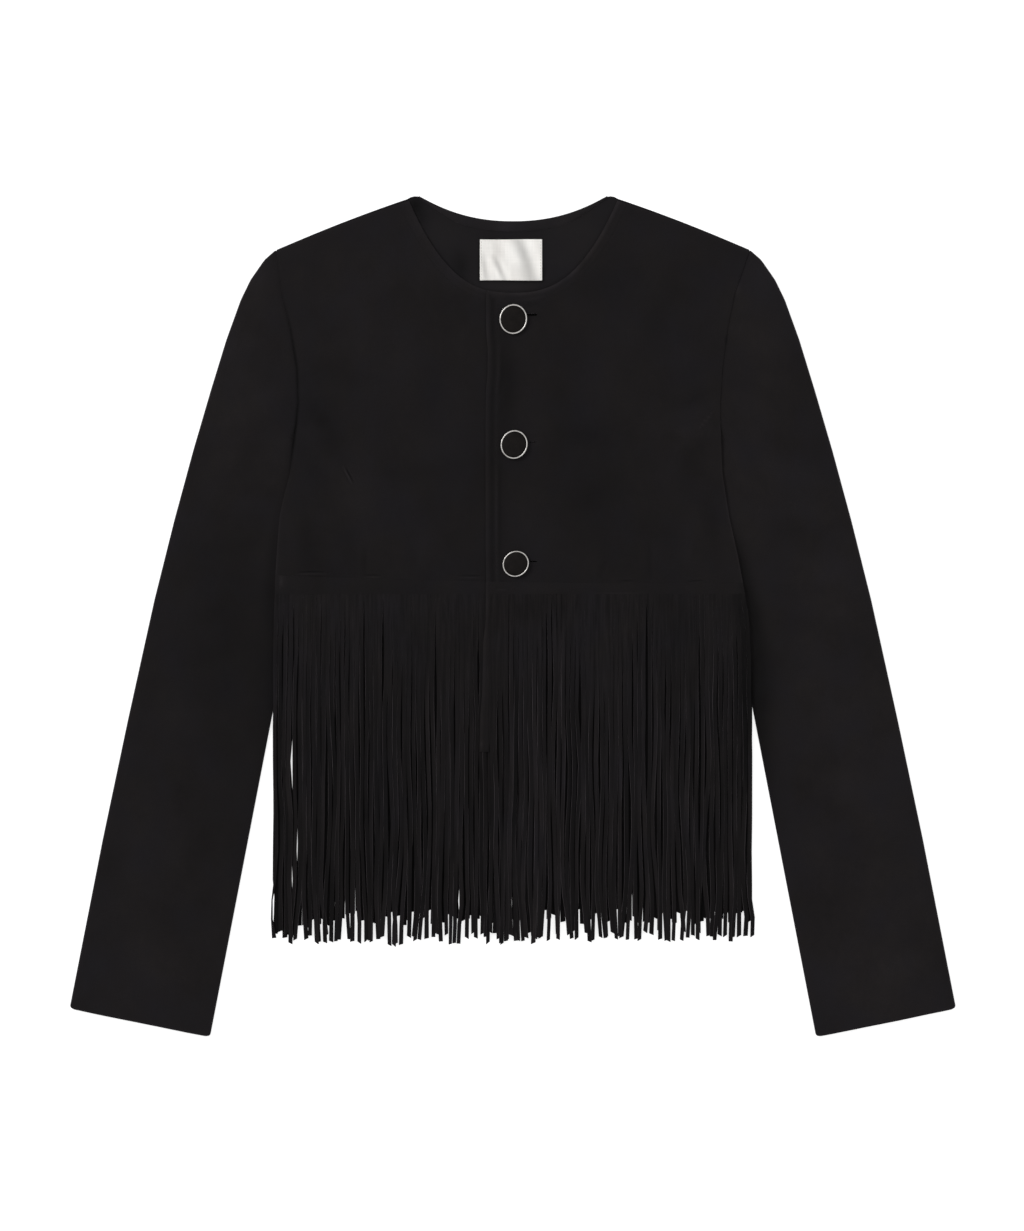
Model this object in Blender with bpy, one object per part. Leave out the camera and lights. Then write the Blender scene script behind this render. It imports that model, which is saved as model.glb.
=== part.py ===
"""A fringed suede jacket, laid flat on its back with its fronts buttoned.

The jacket lies in the XY plane: +Y runs from hem to neck, +X is the side on the
right of someone looking down at it, and +Z is up. The underside of the back lies
at Z = 0. Sizes are in millimetres here and are scaled to metres as a mesh is made.

The garment is built as it is cut and sewn: a back, two fronts that lap at the
centre, an upper and an under piece for each sleeve, fringed skirts sewn on at the
waist, a facing at the back of the neck, a plain label and three shank buttons.
Each piece is a wall of its own, one seam gap away from its neighbours.
"""

from math import cos, exp, pi, radians, sin
from typing import Callable

import bmesh
import bpy

Point = tuple[float, float]
Section = list[Point]
Height = Callable[[float, float], float]

SCALE = 0.001  # millimetres to metres

# Cloth and the way its layers stack
WALL = 1.5  # suede with its backing
SEAM = 0.3  # between two pieces that are sewn or lie together
PLY = WALL + SEAM  # rise from one layer to the next
TRIM_WALL = 1.0  # facing and label

# Outline of the body
NECK_HALF = 88.4  # centre line to the peak of a shoulder
NECK_PEAK_Y = 356.0
BACK_NECK_HALF = 77.0
BACK_NECK_Y = 335.2
BACK_NECK_CURVE = 0.0035  # rise of the back neck, per millimetre squared
FRONT_NECK_Y = 274.5
FRONT_NECK_POWER = 2.58  # how square the front neckline is
SHOULDER_HALF = 200.8
SHOULDER_Y = 311.4
WAIST_Y = 31.8
WAIST_TILT = -0.0145  # the laid waist seam drops a little towards +X
FRINGE_Y = -272.0
BACK_FRINGE_Y = -252.0  # the back's strands end higher than the fronts'
ARMPIT_Y = 165.0

# Front opening: the right front laps over the left
LAP_EDGE_X = -21.3
UNDERLAP_EDGE_X = 23.0
LAP_EASE = 26.0  # width over which the upper front comes down again
LAP_RISE = PLY + 0.3  # the fronts lie a little more loosely on each other
EDGE_STRIP_X = (-27.6, -20.0)
EDGE_STRIP_END_Y = -115.0

# Sleeves
CUFF_INNER = (258.6, -356.0)
CUFF_OUTER = (375.3, -332.6)
INNER_FOLD_X = 204.0  # the inner fold of a sleeve leaves the side of the body here
INNER_FOLD_Y = -81.0
INNER_FOLD_SLOPE = -0.19
TUCK = 14.0  # how far a sleeve lies under the body below the armpit
TUCK_SPAN = 10.0  # length over which the sleeve slips under
SLEEVE_RISE = 3.4
SLEEVE_BLEND = 4.0  # flat strip of a sleeve along its armhole

# Body fullness
BODY_RISE = 3.2
FRINGE_RISE = 0.9
NECK_RISE = 0.6
LIFT = 2 * PLY  # the body rides over both layers of a sleeve
LIFT_FLAT = 18.0
LIFT_EASE = 34.0
LIFT_TOP_EASE = 15.0
LIFT_END_EASE = 75.0

# Trim
FACING_WIDTH = 8.5
FACING_HALF = 73.0
LABEL_SIZE = (54.0, 36.5)
LABEL_CENTRE = (-1.7, 303.4)

# Buttons
BUTTON_RADIUS = 12.0
RIM_WIDTH = 2.1
RIM_HEIGHT = 3.4
PLATE_WALL = 0.8
PLATE_EASE = 0.2  # the plate of a button lies clear of the cloth's folds
DOME_RISE = 1.1
SHANK_RADIUS = 2.0
BUTTON_SIDES = 24
HOLE_RADIUS = 2.7
SLIT_WIDTH = 1.2
SLIT_LENGTH = 18.5

# Sides of the body as it lies, from shoulder to fringe: y, left x, right x
SIDE_SEAM = (
    (311.4, -200.8, 200.8),
    (300.0, -199.6, 197.0),
    (275.0, -196.6, 188.2),
    (246.0, -190.3, 182.2),
    (211.0, -184.3, 177.7),
    (182.0, -182.8, 176.0),
    (165.0, -184.8, 176.1),
    (150.0, -187.0, 176.7),
    (122.0, -190.5, 179.7),
    (84.0, -197.0, 186.1),
    (50.0, -200.5, 192.1),
    (31.8, -201.6, 196.0),
    (0.0, -202.8, 201.6),
    (-30.0, -203.2, 203.8),
    (-80.0, -203.6, 204.2),
    (-155.0, -203.6, 204.0),
    (-272.0, -204.4, 204.6),
)

# Outer edge of a sleeve, from the shoulder round the cap to the cuff: y, x
SLEEVE_EDGE = (
    (311.4, 201.2),
    (303.0, 210.8),
    (286.0, 222.6),
    (269.0, 230.9),
    (235.0, 243.2),
    (192.0, 256.4),
    (141.0, 271.3),
    (82.0, 287.3),
    (14.0, 304.3),
    (-88.0, 326.8),
    (-190.0, 348.1),
    (-332.6, 375.3),
)

# Sections across a sleeve: y at its inner edge, y at its outer edge, fullness
SLEEVE_SECTIONS = (
    (310.6, 310.8, 0.0),
    (303.0, 304.0, 0.15),
    (290.0, 290.0, 0.40),
    (272.0, 270.0, 0.65),
    (246.0, 243.0, 0.85),
    (211.0, 212.0, 1.00),
    (182.0, 188.0, 1.00),
    (165.0, 173.0, 1.00),
    (150.0, 159.0, 0.95),
    (140.0, 150.0, 0.95),
    (110.0, 122.0, 0.95),
    (70.0, 83.0, 1.00),
    (30.0, 44.0, 1.00),
    (-10.0, 6.0, 0.95),
    (-45.0, -27.0, 0.90),
    (-81.0, -62.0, 0.90),
    (-130.0, -109.0, 0.95),
    (-190.0, -168.0, 1.00),
    (-250.0, -227.0, 0.95),
    (-310.0, -286.5, 0.85),
    (-356.0, -332.6, 0.70),
)
SLEEVE_COLUMNS = (0.0, 0.05, 0.13, 0.27, 0.45, 0.63, 0.79, 0.91, 1.0)

# Sections across a front: y at the side, y at the opening or along the neckline
FRONT_ROWS_BELOW_ARMPIT = (50.0, 84.0, 122.0, 150.0)
FRONT_ROWS_ABOVE = (
    (165.0, 165.0),
    (182.0, 188.0),
    (211.0, 222.0),
    (246.0, 252.0),
    (275.0, 272.0),
)
NECKLINE_SHARES = (0.28, 0.55, 0.80, 1.0)  # of the neckline's half width, per row
SHOULDER_ROW_YS = (288.0, 300.0, 306.0, 311.4)
SIDE_COLUMNS = (0.0, 9.0, 18.0, 30.0, 41.0, 52.0)  # distances in from a side
INNER_COLUMNS = 6

# Rows of the skirts, below the waist seam
SKIRT_ROWS = (0.0, -30.0, -80.0, -117.0, -155.0, -200.0)

# Broad soft folds: x, y, heading in degrees, length, width, height
FOLDS = (
    (252.0, 96.0, 150.0, 120.0, 44.0, 1.0),
    (272.0, -40.0, 22.0, 110.0, 46.0, 0.9),
    (312.0, -236.0, 64.0, 150.0, 48.0, 0.8),
    (-246.0, 120.0, 28.0, 110.0, 46.0, 0.9),
    (-276.0, -62.0, 158.0, 120.0, 44.0, 1.0),
    (-304.0, -214.0, 118.0, 140.0, 48.0, 0.8),
    (92.0, 205.0, 62.0, 150.0, 60.0, 0.9),
    (-96.0, 190.0, 116.0, 160.0, 60.0, 1.0),
)

# Buttons from the neck down: name, x, y, how far the slit of its hole slants up
BUTTONS = (
    ("top", 0.3, 253.2, 3.2),
    ("middle", 0.9, 146.6, 2.4),
    ("waist", 2.5, 45.6, 1.6),
)

# Colours: name, red, green, blue, roughness, metallic
FINISHES = {
    "black_suede": (0.012, 0.011, 0.012, 0.92, 0.0),
    "suede_inside": (0.014, 0.013, 0.015, 0.85, 0.0),
    "satin_ribbon": (0.74, 0.73, 0.69, 0.45, 0.0),
    "polished_metal": (0.66, 0.66, 0.65, 0.22, 1.0),
    "black_enamel": (0.010, 0.010, 0.011, 0.35, 0.0),
}


# ---------------------------------------------------------------- small maths


def ease(value: float, start: float, end: float) -> float:
    """Return 0 at start and 1 at end, with a smooth turn at both."""
    share = min(1.0, max(0.0, (value - start) / (end - start)))
    return share * share * (3.0 - 2.0 * share)


def read_column(table: tuple, y: float, column: int) -> float:
    """Return a column of a table whose first column is a falling y."""
    if y >= table[0][0]:
        return table[0][column]
    for upper, lower in zip(table, table[1:]):
        if y >= lower[0]:
            share = (upper[0] - y) / (upper[0] - lower[0])
            return upper[column] + share * (lower[column] - upper[column])
    return table[-1][column]


def side_x(y: float, side: int) -> float:
    """Return where the body ends at y, on the left (-1) or the right (+1)."""
    return read_column(SIDE_SEAM, y, 2 if side > 0 else 1)


def waist_y(x: float) -> float:
    """Return the height of the waist seam at x."""
    return WAIST_Y + WAIST_TILT * x


def front_neck_y(x: float) -> float:
    """Return the front neckline at x."""
    depth = NECK_PEAK_Y - 3.0 - FRONT_NECK_Y
    return FRONT_NECK_Y + depth * (abs(x) / NECK_HALF) ** FRONT_NECK_POWER


def back_neck_y(x: float) -> float:
    """Return the back neckline at x."""
    return BACK_NECK_Y + BACK_NECK_CURVE * x * x


# ------------------------------------------------------------ heights of layers


def fold_height(x: float, y: float) -> float:
    """Return how far the broad folds raise the cloth at a point."""
    total = 0.0
    for fold_x, fold_y, heading, length, width, height in FOLDS:
        turn = radians(heading)
        along = (x - fold_x) * cos(turn) + (y - fold_y) * sin(turn)
        across = (y - fold_y) * cos(turn) - (x - fold_x) * sin(turn)
        reach = (2.0 * along / length) ** 2 + (2.0 * across / width) ** 2
        total += height * exp(-1.6 * reach)
    return total


def body_lift(x: float, y: float) -> float:
    """Return how far a sleeve under the side of the body raises it."""
    inward = abs(side_x(y, 1 if x > 0 else -1)) - abs(x)
    across = 1.0 - ease(inward, LIFT_FLAT, LIFT_FLAT + LIFT_EASE)
    below = 1.0 - ease(y, ARMPIT_Y - LIFT_TOP_EASE, ARMPIT_Y)
    above = ease(y, INNER_FOLD_Y - LIFT_END_EASE, INNER_FOLD_Y)
    return LIFT * across * below * above


def body_rise(x: float, y: float) -> float:
    """Return the fullness of the front, least at its sides, neck and shoulders."""
    inward = abs(side_x(y, 1 if x > 0 else -1)) - abs(x)
    across = ease(inward, 4.0, 90.0)
    shoulder = SHOULDER_Y + (abs(x) - SHOULDER_HALF) * (SHOULDER_Y - NECK_PEAK_Y) / (
        SHOULDER_HALF - NECK_HALF
    )
    under_shoulder = ease(shoulder - y, 0.0, 80.0)
    skirt = ease(WAIST_Y - y, -6.0, 60.0)
    full = BODY_RISE + (FRINGE_RISE - BODY_RISE) * skirt
    by_neck = NECK_RISE + (1.0 - NECK_RISE) * ease(front_neck_y(x) - y, 0.0, 55.0)
    bodice_fold = fold_height(x, y) * (1.0 - skirt) * across * under_shoulder
    return full * across * under_shoulder * by_neck + 0.5 * bodice_fold


def back_height(x: float, y: float) -> float:
    """Return the underside of the back and its skirt."""
    return body_lift(x, y)


def front_height(x: float, y: float) -> float:
    """Return the underside of the front that lies on the back."""
    return PLY + body_lift(x, y) + body_rise(x, y)


def lapping_height(x: float, y: float) -> float:
    """Return the underside of the right front, which lies on the left one."""
    over = 1.0 - ease(x, UNDERLAP_EDGE_X + 1.0, UNDERLAP_EDGE_X + 1.0 + LAP_EASE)
    return front_height(x, y) + LAP_RISE * over


def edge_strip_height(x: float, y: float) -> float:
    """Return the underside of the plain strip at the edge of the upper skirt."""
    return front_height(x, y) + LAP_RISE


# ------------------------------------------------------------------ mesh making


def new_object(name: str, mesh: bmesh.types.BMesh, finish: str) -> bpy.types.Object:
    """Turn a bmesh in millimetres into a named object in metres with its finish."""
    bmesh.ops.recalc_face_normals(mesh, faces=mesh.faces)
    bmesh.ops.scale(mesh, vec=(SCALE, SCALE, SCALE), verts=mesh.verts)
    data = bpy.data.meshes.new(name)
    mesh.to_mesh(data)
    mesh.free()
    data.materials.append(finish_material(finish))
    made = bpy.data.objects.new(name, data)
    bpy.context.scene.collection.objects.link(made)
    return made


def finish_material(finish: str) -> bpy.types.Material:
    """Return the Principled material of a finish, made once."""
    found = bpy.data.materials.get(finish)
    if found:
        return found
    red, green, blue, roughness, metallic = FINISHES[finish]
    made = bpy.data.materials.new(finish)
    made.use_nodes = True
    shader = made.node_tree.nodes["Principled BSDF"]
    shader.inputs["Base Color"].default_value = (red, green, blue, 1.0)
    shader.inputs["Roughness"].default_value = roughness
    shader.inputs["Metallic"].default_value = metallic
    return made


def thicken(mesh: bmesh.types.BMesh, wall: float) -> None:
    """Give a flat or draped sheet its wall, upwards."""
    bmesh.ops.triangulate(mesh, faces=mesh.faces, quad_method="FIXED")
    raised = bmesh.ops.extrude_face_region(mesh, geom=mesh.faces[:], use_keep_orig=True)
    top = [item for item in raised["geom"] if isinstance(item, bmesh.types.BMVert)]
    bmesh.ops.translate(mesh, vec=(0.0, 0.0, wall), verts=top)


def add_row(mesh: bmesh.types.BMesh, row: Section, height: Height) -> list:
    """Add one section of a sheet as vertices at their heights."""
    return [mesh.verts.new((x, y, height(x, y))) for x, y in row]


def add_strips(mesh: bmesh.types.BMesh, rows: list[list]) -> None:
    """Join neighbouring sections with faces."""
    for lower, upper in zip(rows, rows[1:]):
        for column in range(len(lower) - 1):
            corners = (lower[column], lower[column + 1], upper[column + 1], upper[column])
            mesh.faces.new(corners)


def cloth_piece(name: str, sections: list[Section], height: Height) -> bpy.types.Object:
    """Make a piece of cloth through its sections, on the height it lies at."""
    mesh = bmesh.new()
    add_strips(mesh, [add_row(mesh, row, height) for row in sections])
    thicken(mesh, WALL)
    return new_object(name, mesh, "black_suede")


def flat_piece(
    name: str, outline: Section, base: float, wall: float, finish: str
) -> bpy.types.Object:
    """Make a flat piece of cloth from its outline."""
    mesh = bmesh.new()
    mesh.faces.new([mesh.verts.new((x, y, base)) for x, y in outline])
    thicken(mesh, wall)
    return new_object(name, mesh, finish)


def turned_piece(
    name: str, profile: list[Point], centre: tuple[float, float, float], finish: str
) -> bpy.types.Object:
    """Turn a profile of radius and height, which starts and ends on the axis."""
    mesh = bmesh.new()
    points = [mesh.verts.new((radius, 0.0, height)) for radius, height in profile]
    line = [mesh.edges.new(pair) for pair in zip(points, points[1:])]
    bmesh.ops.spin(
        mesh,
        geom=points + line,
        cent=(0.0, 0.0, 0.0),
        axis=(0.0, 0.0, 1.0),
        angle=2.0 * pi,
        steps=BUTTON_SIDES,
        use_merge=True,
    )
    bmesh.ops.remove_doubles(mesh, verts=mesh.verts, dist=0.001)
    bmesh.ops.translate(mesh, vec=centre, verts=mesh.verts)
    made = new_object(name, mesh, finish)
    made.data.shade_smooth()
    made.data.set_sharp_from_angle(angle=radians(35.0))
    return made


# --------------------------------------------------------------------- sections


def row_between(start: Point, end: Point, distances: tuple, inner_count: int) -> Section:
    """Return a section from its inner end to the side, closer set near the side.

    distances are measured in from the side; a short section draws them together.
    """
    length = abs(end[0] - start[0])
    squeeze = min(1.0, 0.55 * length / distances[-1])
    shares = [column / inner_count for column in range(inner_count)]
    last = 1.0 - distances[-1] * squeeze / length
    across = [share * last for share in shares]
    across += [1.0 - distance * squeeze / length for distance in reversed(distances)]
    return [
        (start[0] + share * (end[0] - start[0]), start[1] + share * (end[1] - start[1]))
        for share in across
    ]


def front_sections(side: int, opening_x: float) -> list[Section]:
    """Return the sections of a front, from the waist up to the shoulder."""

    def straight(side_y: float, opening_y: float) -> Section:
        start, end = (opening_x, opening_y), (side_x(side_y, side), side_y)
        return row_between(start, end, SIDE_COLUMNS, INNER_COLUMNS)

    sections = [[(x, waist_y(x)) for x, _ in straight(WAIST_Y, WAIST_Y)]]
    sections += [straight(y, y) for y in FRONT_ROWS_BELOW_ARMPIT]
    sections += [straight(side_y, opening_y) for side_y, opening_y in FRONT_ROWS_ABOVE]
    for share, side_y in zip(NECKLINE_SHARES, SHOULDER_ROW_YS):
        neck_x = opening_x + share * (side * NECK_HALF - opening_x)
        start = (neck_x, front_neck_y(neck_x))
        end = (side_x(side_y, side), side_y)
        sections.append(row_between(start, end, SIDE_COLUMNS, INNER_COLUMNS))
    return sections


def left_to_right(section: Section) -> Section:
    """Return a section running towards +X."""
    return sorted(section)


def skirt_sections(
    left_x: float | None, right_x: float | None, end_y: float
) -> list[Section]:
    """Return the sections of a skirt; None stands for the side of the body."""
    sections = []
    for y in (WAIST_Y,) + SKIRT_ROWS + (end_y,):
        section = []
        if left_x is None:
            section += [(side_x(y, -1) + inward, y) for inward in SIDE_COLUMNS]
        else:
            section += [(left_x, y), (left_x + 46.0, y)]
        if right_x is None:
            section += [(side_x(y, 1) - inward, y) for inward in SIDE_COLUMNS]
        else:
            section += [(right_x - 46.0, y), (right_x, y)]
        sections.append(left_to_right(section))
    sections[0] = [(x, waist_y(x) - SEAM) for x, _ in sections[0]]
    return sections


def inner_fold_x(y: float, side: int) -> float:
    """Return how far in a sleeve reaches at y, as a distance from the centre."""
    edge = abs(side_x(y, side)) + SEAM
    if y >= ARMPIT_Y - LIFT_TOP_EASE:
        return edge
    fold = INNER_FOLD_X + INNER_FOLD_SLOPE * (y - INNER_FOLD_Y)
    tucked = max(fold, edge - SEAM - TUCK)
    under = 1.0 - ease(y, ARMPIT_Y - LIFT_TOP_EASE - TUCK_SPAN, ARMPIT_Y - LIFT_TOP_EASE)
    return edge + (tucked - edge) * under


def sleeve_section(inner_y: float, outer_y: float, side: int) -> Section:
    """Return one section of a sleeve, from its inner to its outer edge."""
    inner = inner_fold_x(inner_y, side)
    showing = max(inner, abs(side_x(inner_y, side))) + SLEEVE_BLEND * 0.5
    outer = read_column(SLEEVE_EDGE, outer_y, 1)
    room = outer - inner
    start = min(showing - inner, 0.3 * room)
    points = [(inner, inner_y)]
    for share in SLEEVE_COLUMNS:
        along = (start + share * (room - start)) / room
        points.append((inner + along * room, inner_y + along * (outer_y - inner_y)))
    return [(side * x, y) for x, y in points]


# ------------------------------------------------------------------ the garment


def make_back() -> bpy.types.Object:
    """Make the back: sections up to the armpits, then one flat yoke."""
    sections = []
    for y in (WAIST_Y,) + FRONT_ROWS_BELOW_ARMPIT + (ARMPIT_Y,):
        section = [(side_x(y, -1) + inward, y) for inward in SIDE_COLUMNS]
        section += [(side_x(y, 1) - inward, y) for inward in SIDE_COLUMNS]
        sections.append(left_to_right(section))
    sections[0] = [(x, waist_y(x)) for x, _ in sections[0]]
    mesh = bmesh.new()
    rows = [add_row(mesh, section, back_height) for section in sections]
    add_strips(mesh, rows)
    yoke = add_row(mesh, yoke_outline(), back_height)
    mesh.faces.new(rows[-1] + yoke)
    thicken(mesh, WALL)
    return new_object("back", mesh, "suede_inside")


def yoke_outline() -> Section:
    """Return the back above the armpits, from the right round to the left."""
    above = [row for row in reversed(SIDE_SEAM) if row[0] > ARMPIT_Y]
    right = [(row[2], row[0]) for row in above]
    left = [(row[1], row[0]) for row in reversed(above)]
    steps = 10
    neck_xs = [BACK_NECK_HALF * (1.0 - 2.0 * step / steps) for step in range(steps + 1)]
    neck = [(x, back_neck_y(x)) for x in neck_xs]
    peaks = [(NECK_HALF, NECK_PEAK_Y)], [(-NECK_HALF, NECK_PEAK_Y)]
    return right + peaks[0] + neck + peaks[1] + left


def make_fronts() -> list[bpy.types.Object]:
    """Make the two fronts, with buttonholes in the one that laps over."""
    left = [left_to_right(row) for row in front_sections(-1, UNDERLAP_EDGE_X)]
    right = [left_to_right(row) for row in front_sections(1, LAP_EDGE_X)]
    under = cloth_piece("front_left", left, front_height)
    over = cloth_piece("front_right", right, lapping_height)
    for name, x, y, slant in BUTTONS:
        cut = over.modifiers.new(f"buttonhole_{name}", "BOOLEAN")
        cut.operation = "DIFFERENCE"
        cut.object = buttonhole_cutter(name, x, y, slant)
    return [under, over]


def buttonhole_cutter(name: str, x: float, y: float, slant: float) -> bpy.types.Object:
    """Make the cutter of a buttonhole: round at the shank, then a slit."""
    slit_x, half_slit = x + SLIT_LENGTH, SLIT_WIDTH / 2.0
    sides = 12
    first = 2.0 * pi / sides / 2.0
    turns = [first + 2.0 * pi * step / sides for step in range(sides)]
    outline = [(x + HOLE_RADIUS * cos(turn), y + HOLE_RADIUS * sin(turn)) for turn in turns]
    outline += [(slit_x, y + slant - half_slit), (slit_x, y + slant + half_slit)]
    mesh = bmesh.new()
    mesh.faces.new([mesh.verts.new((px, py, -5.0)) for px, py in outline])
    thicken(mesh, 40.0)
    cutter = new_object(f"cutter_{name}", mesh, "black_suede")
    cutter.hide_render = True
    cutter.display_type = "WIRE"
    return cutter


def make_skirts() -> list[bpy.types.Object]:
    """Make the plain solids of the fringed skirts and the strip at their edge."""
    strip_rows = (WAIST_Y,) + tuple(y for y in SKIRT_ROWS if y > EDGE_STRIP_END_Y)
    strip = [[(x, y) for x in EDGE_STRIP_X] for y in strip_rows + (EDGE_STRIP_END_Y,)]
    strip[0] = [(x, waist_y(x) - SEAM) for x, _ in strip[0]]
    under = skirt_sections(None, UNDERLAP_EDGE_X, FRINGE_Y)
    over = skirt_sections(EDGE_STRIP_X[1] + SEAM, None, FRINGE_Y)
    return [
        cloth_piece("back_fringe", skirt_sections(None, None, BACK_FRINGE_Y), back_height),
        cloth_piece("front_left_fringe", under, front_height),
        cloth_piece("front_right_fringe", over, lapping_height),
        cloth_piece("front_edge_strip", strip, edge_strip_height),
    ]


def make_sleeve(side: int) -> list[bpy.types.Object]:
    """Make the upper and the under piece of one sleeve."""
    word = "right" if side > 0 else "left"
    sections = [sleeve_section(row[0], row[1], side) for row in SLEEVE_SECTIONS]
    mesh = bmesh.new()
    rows = []
    for section, (_, _, fullness) in zip(sections, SLEEVE_SECTIONS):
        shares = (0.0,) + SLEEVE_COLUMNS
        row = []
        for (x, y), share in zip(section, shares):
            arch = sin(pi * share) ** 0.75 if 0.0 < share < 1.0 else 0.0
            rise = fullness * (SLEEVE_RISE * 0.8 * arch + 0.5 * arch * fold_height(x, y))
            row.append(mesh.verts.new((x, y, PLY + rise)))
        rows.append(row)
    add_strips(mesh, rows)
    thicken(mesh, WALL)
    upper = new_object(f"sleeve_{word}_upper", mesh, "black_suede")
    inner_edge = [section[0] for section in sections]
    outer_edge = [section[-1] for section in reversed(sections)]
    outline = inner_edge + outer_edge
    under = flat_piece(f"sleeve_{word}_under", outline, 0.0, WALL, "black_suede")
    return [upper, under]


def make_neck_trim() -> list[bpy.types.Object]:
    """Make the facing along the back of the neck and the plain label below it."""
    steps = 12
    xs = [FACING_HALF * (2.0 * step / steps - 1.0) for step in range(steps + 1)]
    upper = [(x, back_neck_y(x) - SEAM) for x in xs]
    lower = [(x, back_neck_y(x) - SEAM - FACING_WIDTH) for x in reversed(xs)]
    facing = flat_piece("back_neck_facing", upper + lower, PLY, TRIM_WALL, "suede_inside")
    half_width, half_height = LABEL_SIZE[0] / 2.0, LABEL_SIZE[1] / 2.0
    centre_x, centre_y = LABEL_CENTRE
    corners = ((-1, -1), (1, -1), (1, 1), (-1, 1))
    outline = [(centre_x + i * half_width, centre_y + j * half_height) for i, j in corners]
    label = flat_piece("neck_label", outline, PLY, TRIM_WALL, "satin_ribbon")
    return [facing, label]


def make_button(name: str, x: float, y: float) -> list[bpy.types.Object]:
    """Make one shank button: a rimmed metal base and the black centre in it."""
    foot = front_height(x, y) + PLY
    plate = lapping_height(x, y) + PLY + PLATE_EASE
    inner = BUTTON_RADIUS - RIM_WIDTH
    floor = plate + PLATE_WALL
    rim_top = plate + RIM_HEIGHT
    base = [
        (0.0, foot),
        (SHANK_RADIUS, foot),
        (SHANK_RADIUS, plate),
        (BUTTON_RADIUS - 1.2, plate),
        (BUTTON_RADIUS, plate + 1.1),
        (BUTTON_RADIUS, rim_top - 0.9),
        (BUTTON_RADIUS - 0.8, rim_top),
        (inner + 0.5, rim_top),
        (inner, rim_top - 0.5),
        (inner, floor),
        (0.0, floor),
    ]
    seat = floor + SEAM
    edge = inner - SEAM
    centre = [
        (0.0, seat),
        (edge, seat),
        (edge, rim_top - 0.7),
        (edge * 0.8, rim_top - 0.7 + DOME_RISE * 0.5),
        (edge * 0.45, rim_top - 0.7 + DOME_RISE * 0.88),
        (0.0, rim_top - 0.7 + DOME_RISE),
    ]
    place = (x, y, 0.0)
    return [
        turned_piece(f"button_{name}_base", base, place, "polished_metal"),
        turned_piece(f"button_{name}_centre", centre, place, "black_enamel"),
    ]


def main() -> None:
    """Clear the scene and build the jacket."""
    for old in list(bpy.data.objects):
        bpy.data.objects.remove(old, do_unlink=True)
    made = [make_back()]
    made += make_fronts()
    made += make_skirts()
    made += make_sleeve(-1)
    made += make_sleeve(1)
    made += make_neck_trim()
    for name, x, y, _ in BUTTONS:
        made += make_button(name, x, y)
    jacket = bpy.data.objects.new("fringed_jacket", None)
    bpy.context.scene.collection.objects.link(jacket)
    for piece in made:
        piece.parent = jacket


main()
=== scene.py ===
"""A fringed black suede jacket, laid flat on its back, buttoned, in a plain studio.

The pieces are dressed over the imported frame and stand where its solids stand. Sizes
are in millimetres until a mesh is finished, which scales it to metres. +Y runs from
hem to neck, +X is on the right of someone looking down at the jacket, +Z is up.
"""

import logging
from dataclasses import dataclass, replace
from enum import Enum
from math import atan2, cos, pi, radians, sin, sqrt
from typing import Callable

import bmesh
import bpy
import numpy as np
from mathutils import Matrix, Vector

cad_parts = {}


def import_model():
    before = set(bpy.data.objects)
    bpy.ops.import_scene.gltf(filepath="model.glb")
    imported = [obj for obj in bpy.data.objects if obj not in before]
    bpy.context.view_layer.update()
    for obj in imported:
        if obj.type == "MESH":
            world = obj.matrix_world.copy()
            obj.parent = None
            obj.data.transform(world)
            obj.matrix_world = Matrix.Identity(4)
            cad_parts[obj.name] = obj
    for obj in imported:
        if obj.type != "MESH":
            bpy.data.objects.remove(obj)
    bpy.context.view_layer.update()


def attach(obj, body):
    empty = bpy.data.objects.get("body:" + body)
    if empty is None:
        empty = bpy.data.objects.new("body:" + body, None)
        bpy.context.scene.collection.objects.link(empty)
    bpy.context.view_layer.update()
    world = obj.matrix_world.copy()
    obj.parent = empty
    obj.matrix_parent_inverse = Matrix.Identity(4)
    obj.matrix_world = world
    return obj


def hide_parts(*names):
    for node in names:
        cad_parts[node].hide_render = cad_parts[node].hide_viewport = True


LOG = logging.getLogger("jacket")

Array = np.ndarray
Point = tuple[float, float]
Points = tuple[Array, Array, Array]
Height = Callable[[Array, Array], Array]
Place = Callable[[Array, Array], Points]
Piece = bpy.types.Object
Draft = bmesh.types.BMesh
Socket = bpy.types.NodeSocket

SCALE = 0.001  # millimetres to metres
PLY = 1.8  # rise from one layer of suede to the next
SOLID_WALL = 1.5  # thickness of a layer in the frame's solids
FACE = SOLID_WALL - 0.1  # height of a dressed face over the floor of its layer
WALL = 1.25  # thickness of the suede itself
LEAST_WALL = 0.25  # thickness that a wall keeps where a floor lifts it
SEAM = 0.3  # gap between pieces that are sewn together
SHARP_ANGLE = 42.0  # degrees between faces that meet at a sharp edge
# The tone attribute holds rubbed nap and random tone, and also painted shade, painted shadows and
# painted highlights.
TONE = "tone"  # the point attribute that lightens or darkens a finish
ROOT = "root"


class Side(Enum):
    """The two sides of the jacket, as someone looking down at it names them."""

    LEFT = -1
    RIGHT = 1


class Slot(Enum):
    """Material slots of the record."""

    SUEDE = "suede"
    INSIDE = "suede_inside"
    LABEL = "label_satin"
    METAL = "button_metal"
    BLACK = "button_black"


# ---------------------------------------------------------------- small maths


def ease(value: Array, start: float, end: float) -> Array:
    """Return 0 at start and 1 at end, with a smooth turn at both."""
    share = np.clip((value - start) / (end - start), 0.0, 1.0)
    return share * share * (3.0 - 2.0 * share)


def bump(value: Array, centre: float, width: float) -> Array:
    """Return 1 at the centre, falling to nothing about a width away."""
    return np.exp(-(((value - centre) / width) ** 2))


def read(table: tuple, y: Array, column: int) -> Array:
    """Return a column of a table whose first column is a falling y."""
    rows = np.array(table)[::-1]
    return np.interp(y, rows[:, 0], rows[:, column])


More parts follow.
